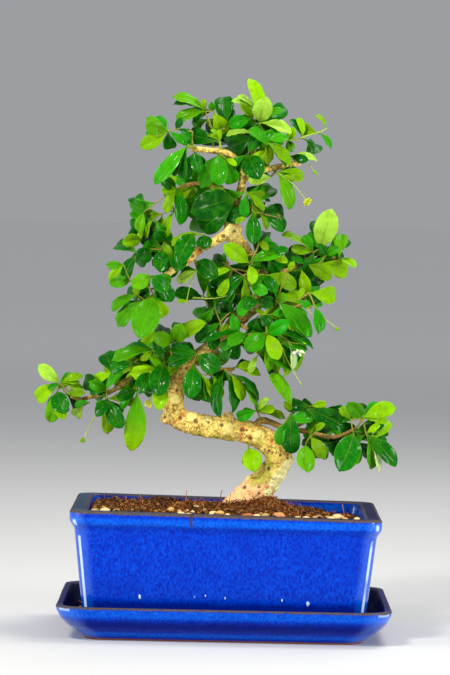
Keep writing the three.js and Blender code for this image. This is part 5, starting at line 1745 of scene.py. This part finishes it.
def addBlade(shape, blade):
    rings, share, side = bladePoints(blade)
    count, sides = rings.shape[:2]
    drawn = [draw(blade.seed + k) for k in (21, 22, 23)]
    tone = np.array(leaf["tones"][blade.tone]) * (0.78 + 0.44 * drawn[0])
    tone = tone + np.array([0.03, 0.02, 0]) * drawn[1] * (blade.tone in "MLO")  # some are yellower
    tones = np.tile([*tone, leaf["gloss"][blade.tone]], (count * sides, 1))
    where = np.concatenate([side, side[:, ::-1]], 1) * 0.5 + 0.5
    alongs = np.concatenate([share, share[:, ::-1]], 1)
    if blade.tone in leaf["tipTones"]:
        turned = np.clip(alongs * 1.8 - 0.75, 0, 1).reshape(-1, 1)
        tones[:, :3] += turned * (np.array(leaf["tipTones"][blade.tone]) - tones[:, :3])
    upper = np.concatenate([np.ones_like(side), np.zeros_like(side)], 1)
    blades = np.stack([where, alongs, np.full_like(where, drawn[2]), upper], 2).reshape(-1, 4)
    faces = wallFaces(count, sides)
    shape.add(rings.reshape(-1, 3), faces, 0, leafTone=tones, blade=blades, **noMarks["bark"])


# Both materials of a shoot read marks, so that each face carries all of them
noMark = [0, 0, 0, 0]
noMarks = {"bark": {"tint": noMark, "spots": noMark}, "leaf": {"leafTone": noMark, "blade": noMark}}

stem = {
    # shares of red, green and cut bark
    "tints": {"young": (0.03, 1, 0, 1), "usual": (1, 0.45, 0, 1), "dry": (0.9, 0, 0.15, 1)},
    "young": ("young_shoot", "top_buds", "trunk_underside"),
    "radius": 0.68,
    "stoutRadius": 0.95,  # of the young shoot
    "taper": 0.84,
    "thinnest": 0.34,
    "stalkRadii": (0.36, 0.26),
    "sides": 8,
    "steps": 5,
    "wobble": 0.12,
    "sag": 0.14,
    "swelling": 1.15,  # at its end
}


def addStem(shape, start, end, radiusStart, radiusEnd, tint, seed):
    sag = unit(np.cross(end - start, (0.3, 1, 0.2))) * np.linalg.norm(end - start)
    sag = sag * stem["sag"] * (draw(seed) - 0.5)
    middle = (*((start + end) / 2 + sag), 0.5 * (radiusStart + radiusEnd))
    smooth = throughPoints([(*start, radiusStart), middle, (*end, radiusEnd)], stem["steps"])
    smooth[-2:, 3] *= stem["swelling"]
    points = tube(smooth, stem["sides"], stem["wobble"], seed)
    faces = wallFaces(len(smooth), stem["sides"])
    shape.add(points, faces, 1, tint=tint, spots=noMark, **noMarks["leaf"])


def addStar(shape, end, way, count, length, width, spread, tone, seed):
    # Narrow sepals or petals round the end of a stalk
    side = unit(np.cross(way, (0.2, 1, 0.1)))
    up = np.cross(side, way)
    for i in range(count):
        angle = i * 2 * math.pi / count + seed
        out = unit(way * (1 - spread) + (side * math.cos(angle) + up * math.sin(angle)) * spread)
        sepal = Leaf(end, end + out * length * (0.85 + 0.3 * draw(seed + i)), width, tone, seed + i)
        sepal.trueWidth = width
        addBlade(shape, sepal)


def addBud(shape, end, way, length, width):
    # Closed light green drop on the end of a stalk
    line = [(*(end + way * length * (t - 0.1)), width * 0.5 * math.sin(math.pi * (0.12 + 0.8 * t) ** 0.8))
            for t in np.linspace(0, 1, 8)]
    color = [*leaf["tones"]["L"], leaf["gloss"]["L"]]
    shape.add(tube(line, 8), wallFaces(8, 8), 0, leafTone=color, blade=[0.7, 0.5, 0, 1], **noMarks["bark"])


def endStalk(shape, end, way, size, kind, seed):
    # Star, dry star, calyx, flower, bud or pistil; open ones face the viewer
    faced = unit(0.5 * way + np.array([0, -0.8, 0]))
    if kind == "S":
        addStar(shape, end, faced, 9, 2 * size, 1.3, 0.85, "Y", seed)
    elif kind == "D":
        addStar(shape, end, faced, 5, 1.8 * size, 0.8, 0.8, "B", seed)
    elif kind == "C":
        addStar(shape, end, way, 5, 2.6 * size, 1.7, 0.25, "L", seed)
    elif kind == "F":
        addStar(shape, end, unit(faced + [0, 0, -1]), 5, 2.4 * size, 2, 0.6, "F", seed)
        addStar(shape, end, faced, 5, 1.3 * size, 0.9, 0.5, "Y", seed + 9)
    elif kind == "B":
        addBud(shape, end, way, 3.4, 2.1)
    else:
        addBud(shape, end, way, 2.2, 1)


def drawShoot(shape, name, tree, number):
    tint = stem["tints"]["young" if name in stem["young"] else "usual"]

    def climb(joint, radius, seed):
        for i, child in enumerate(joint.stems):
            thin = max(stem["thinnest"], radius * stem["taper"])
            addStem(shape, joint.place, child.place, radius, thin, tint, seed + i)
            climb(child, thin, 3 * seed + i)
        for blade in joint.leaves:
            addBlade(shape, blade)
        for i, (end, size, kind) in enumerate(joint.stalks):
            stalkTint = stem["tints"]["dry" if kind == "D" else "young"]
            addStem(shape, joint.place, end, *stem["stalkRadii"], stalkTint, seed + 40 + i)
            endStalk(shape, end, unit(end - joint.place), size, kind, seed + i)

    climb(tree.root, stem["stoutRadius" if name == "young_shoot" else "radius"], 100 * number + 1)


leafLook = {
    "fresh": (0.045, 0.28, 0.001),
    "shade": (0.001, 0.045, 0.001),
    "foot": (0.14, 0.34, 0.005),
    "vein": (0.23, 0.48, 0.008),
    "under": (0.16, 0.38, 0.01),
    "speck": (0.7, 0.88, 0.6),
}


def leafFinish():
    # Glossy upper faces with a pale midrib, a thin pale edge of painted rim light and white specks, paler
    # dull under faces
    look = leafLook
    paint = Paint("leafSkin", **{"Specular IOR Level": 0.03, "Coat Roughness": 0.09})
    own = paint.mark("leafTone")
    gloss = paint.mark("leafTone", "Alpha")
    across, share, shift = paint.parts(paint.mark("blade", "Vector"))
    upper = paint.mark("blade", "Alpha")
    side = abs(across * 2 - 1)
    fine = paint.cloud(0.8, 3, 0.6)
    patches = paint.cloud(6, 2)
    tone = paint.mix(patches.ramp(0.4, 0.7) * 0.4, own, paint.mix(0.5, own, look["fresh"]))
    tone = paint.mix(patches.ramp(0.5, 0.32) * 0.42, tone, paint.mix(0.55, own, look["shade"]))
    tone = paint.mix(share.ramp(0.35, 0.02) * 0.4, tone, paint.mix(0.3, look["foot"], own))
    pale = paint.mix(0.5, own, look["vein"])
    midrib = side.ramp(0.08, 0.01) * share.ramp(1, 0.75)
    slope = (share * 7.5 - side * 1.25 + shift).fraction()
    sideVein = abs(slope - 0.5).ramp(0.09, 0.01) * side.ramp(0.9, 0.5) * side.ramp(0.03, 0.2)
    veins = midrib.orMore(sideVein * 0.4)
    veinStrength = 0.14 + 0.28 * paint.part(own, "Y").ramp(0.04, 0.1)  # faint on the darkest leaves
    tone = paint.mix(veins * veinStrength, tone, pale)
    # painted rim light: a thin pale edge round the blade
    tone = paint.mix(side.ramp(0.9, 1) * 0.35, tone, pale)
    under = 1 - upper
    tone = paint.mix(under * 0.5, tone, paint.mix(0.45, own, look["under"]))
    specks = paint.cells(1.5).ramp(0.13, 0.06) * upper * gloss * paint.cloud(2.4).ramp(0.46, 0.56)
    tone = paint.mix(specks * 0.65, tone, look["speck"])
    relief = paint.relief(veins, -0.12)
    relief = paint.relief(paint.cloud(2.2, 3), 0.4, relief)
    return paint.finish(
        Base_Color=tone,
        Roughness=0.5 - 0.2 * gloss + 0.18 * under + 0.12 * fine,
        Coat_Weight=gloss * upper * 0.19,
        Normal=relief,
    )


def makeLeaves(bark):
    global shownPoints
    trees = {}
    for number, (name, plan) in enumerate(shoots.items()):
        trees[name] = growShoot(plan, number)
    growNearLeaves(trees)
    shownPoints = grownPoints
    for number, (name, plan) in enumerate(rearShoots.items()):
        trees[name] = growRearShoot(*plan, number + 60)
    for number, (name, tree) in enumerate(trees.items()):
        fillShoot(name, tree, number)
    for number, tree in enumerate(trees.values()):
        thickenCrown(tree, number)
    finishes = [leafFinish(), bark]
    total = 0
    for number, (name, tree) in enumerate(trees.items()):
        shape = Shape()
        drawShoot(shape, name, tree, number)
        shape.piece("leaves_" + name, finishes, "leaf", ["spray_" + name], 75)
        total += sum(len(joint.leaves) for joint in tree.joints)
    print("Leafy shoots made:", len(trees), "with", total, "leaves")


floorLook = {
    "pale": (0.62, 0.62, 0.62),
    "grain": (0.57, 0.57, 0.58),
    "far": (0.97, 0.97, 0.97),
    "halfSize": 60,
}


def makeFloor():
    # Pale, with painted light that makes it paler far away where the lamps don't reach, so that it meets the
    # sky without a line
    paint = Paint("paleFloor", **{"Specular IOR Level": 0.1})
    away = paint.add("ShaderNodeVectorMath", {"operation": "LENGTH"}, {0: paint.place()}, output="Value")
    grain = paint.cloud(40, 3)
    near = paint.mix(grain * 0.3, floorLook["pale"], floorLook["grain"])
    tone = paint.mix(away.ramp(0.8, 5), near, floorLook["far"])
    mesh = bpy.data.meshes.new("floor")
    half = floorLook["halfSize"]
    corners = [(-half, -half, 0), (half, -half, 0), (half, half, 0), (-half, half, 0)]
    mesh.from_pydata(corners, [], [(0, 1, 2, 3)])
    mesh.materials.append(paint.finish(Base_Color=tone, Roughness=0.6 + 0.1 * grain))
    floor = bpy.data.objects.new("floor", mesh)
    scene.collection.objects.link(floor)


setCamera()
setLights()
makeFloor()
makePotAndTray()
makeSoil()
loose = crumbFinish()
makeCrumbs(loose)
makeFallenPeat(loose)
makeFibres(loose)
makePebbles(loose)
barkSkin = barkFinish()
makeTrunk(barkSkin)
makeThinBranches(barkSkin)
makeLeaves(barkSkin)

bpy.context.view_layer.update()
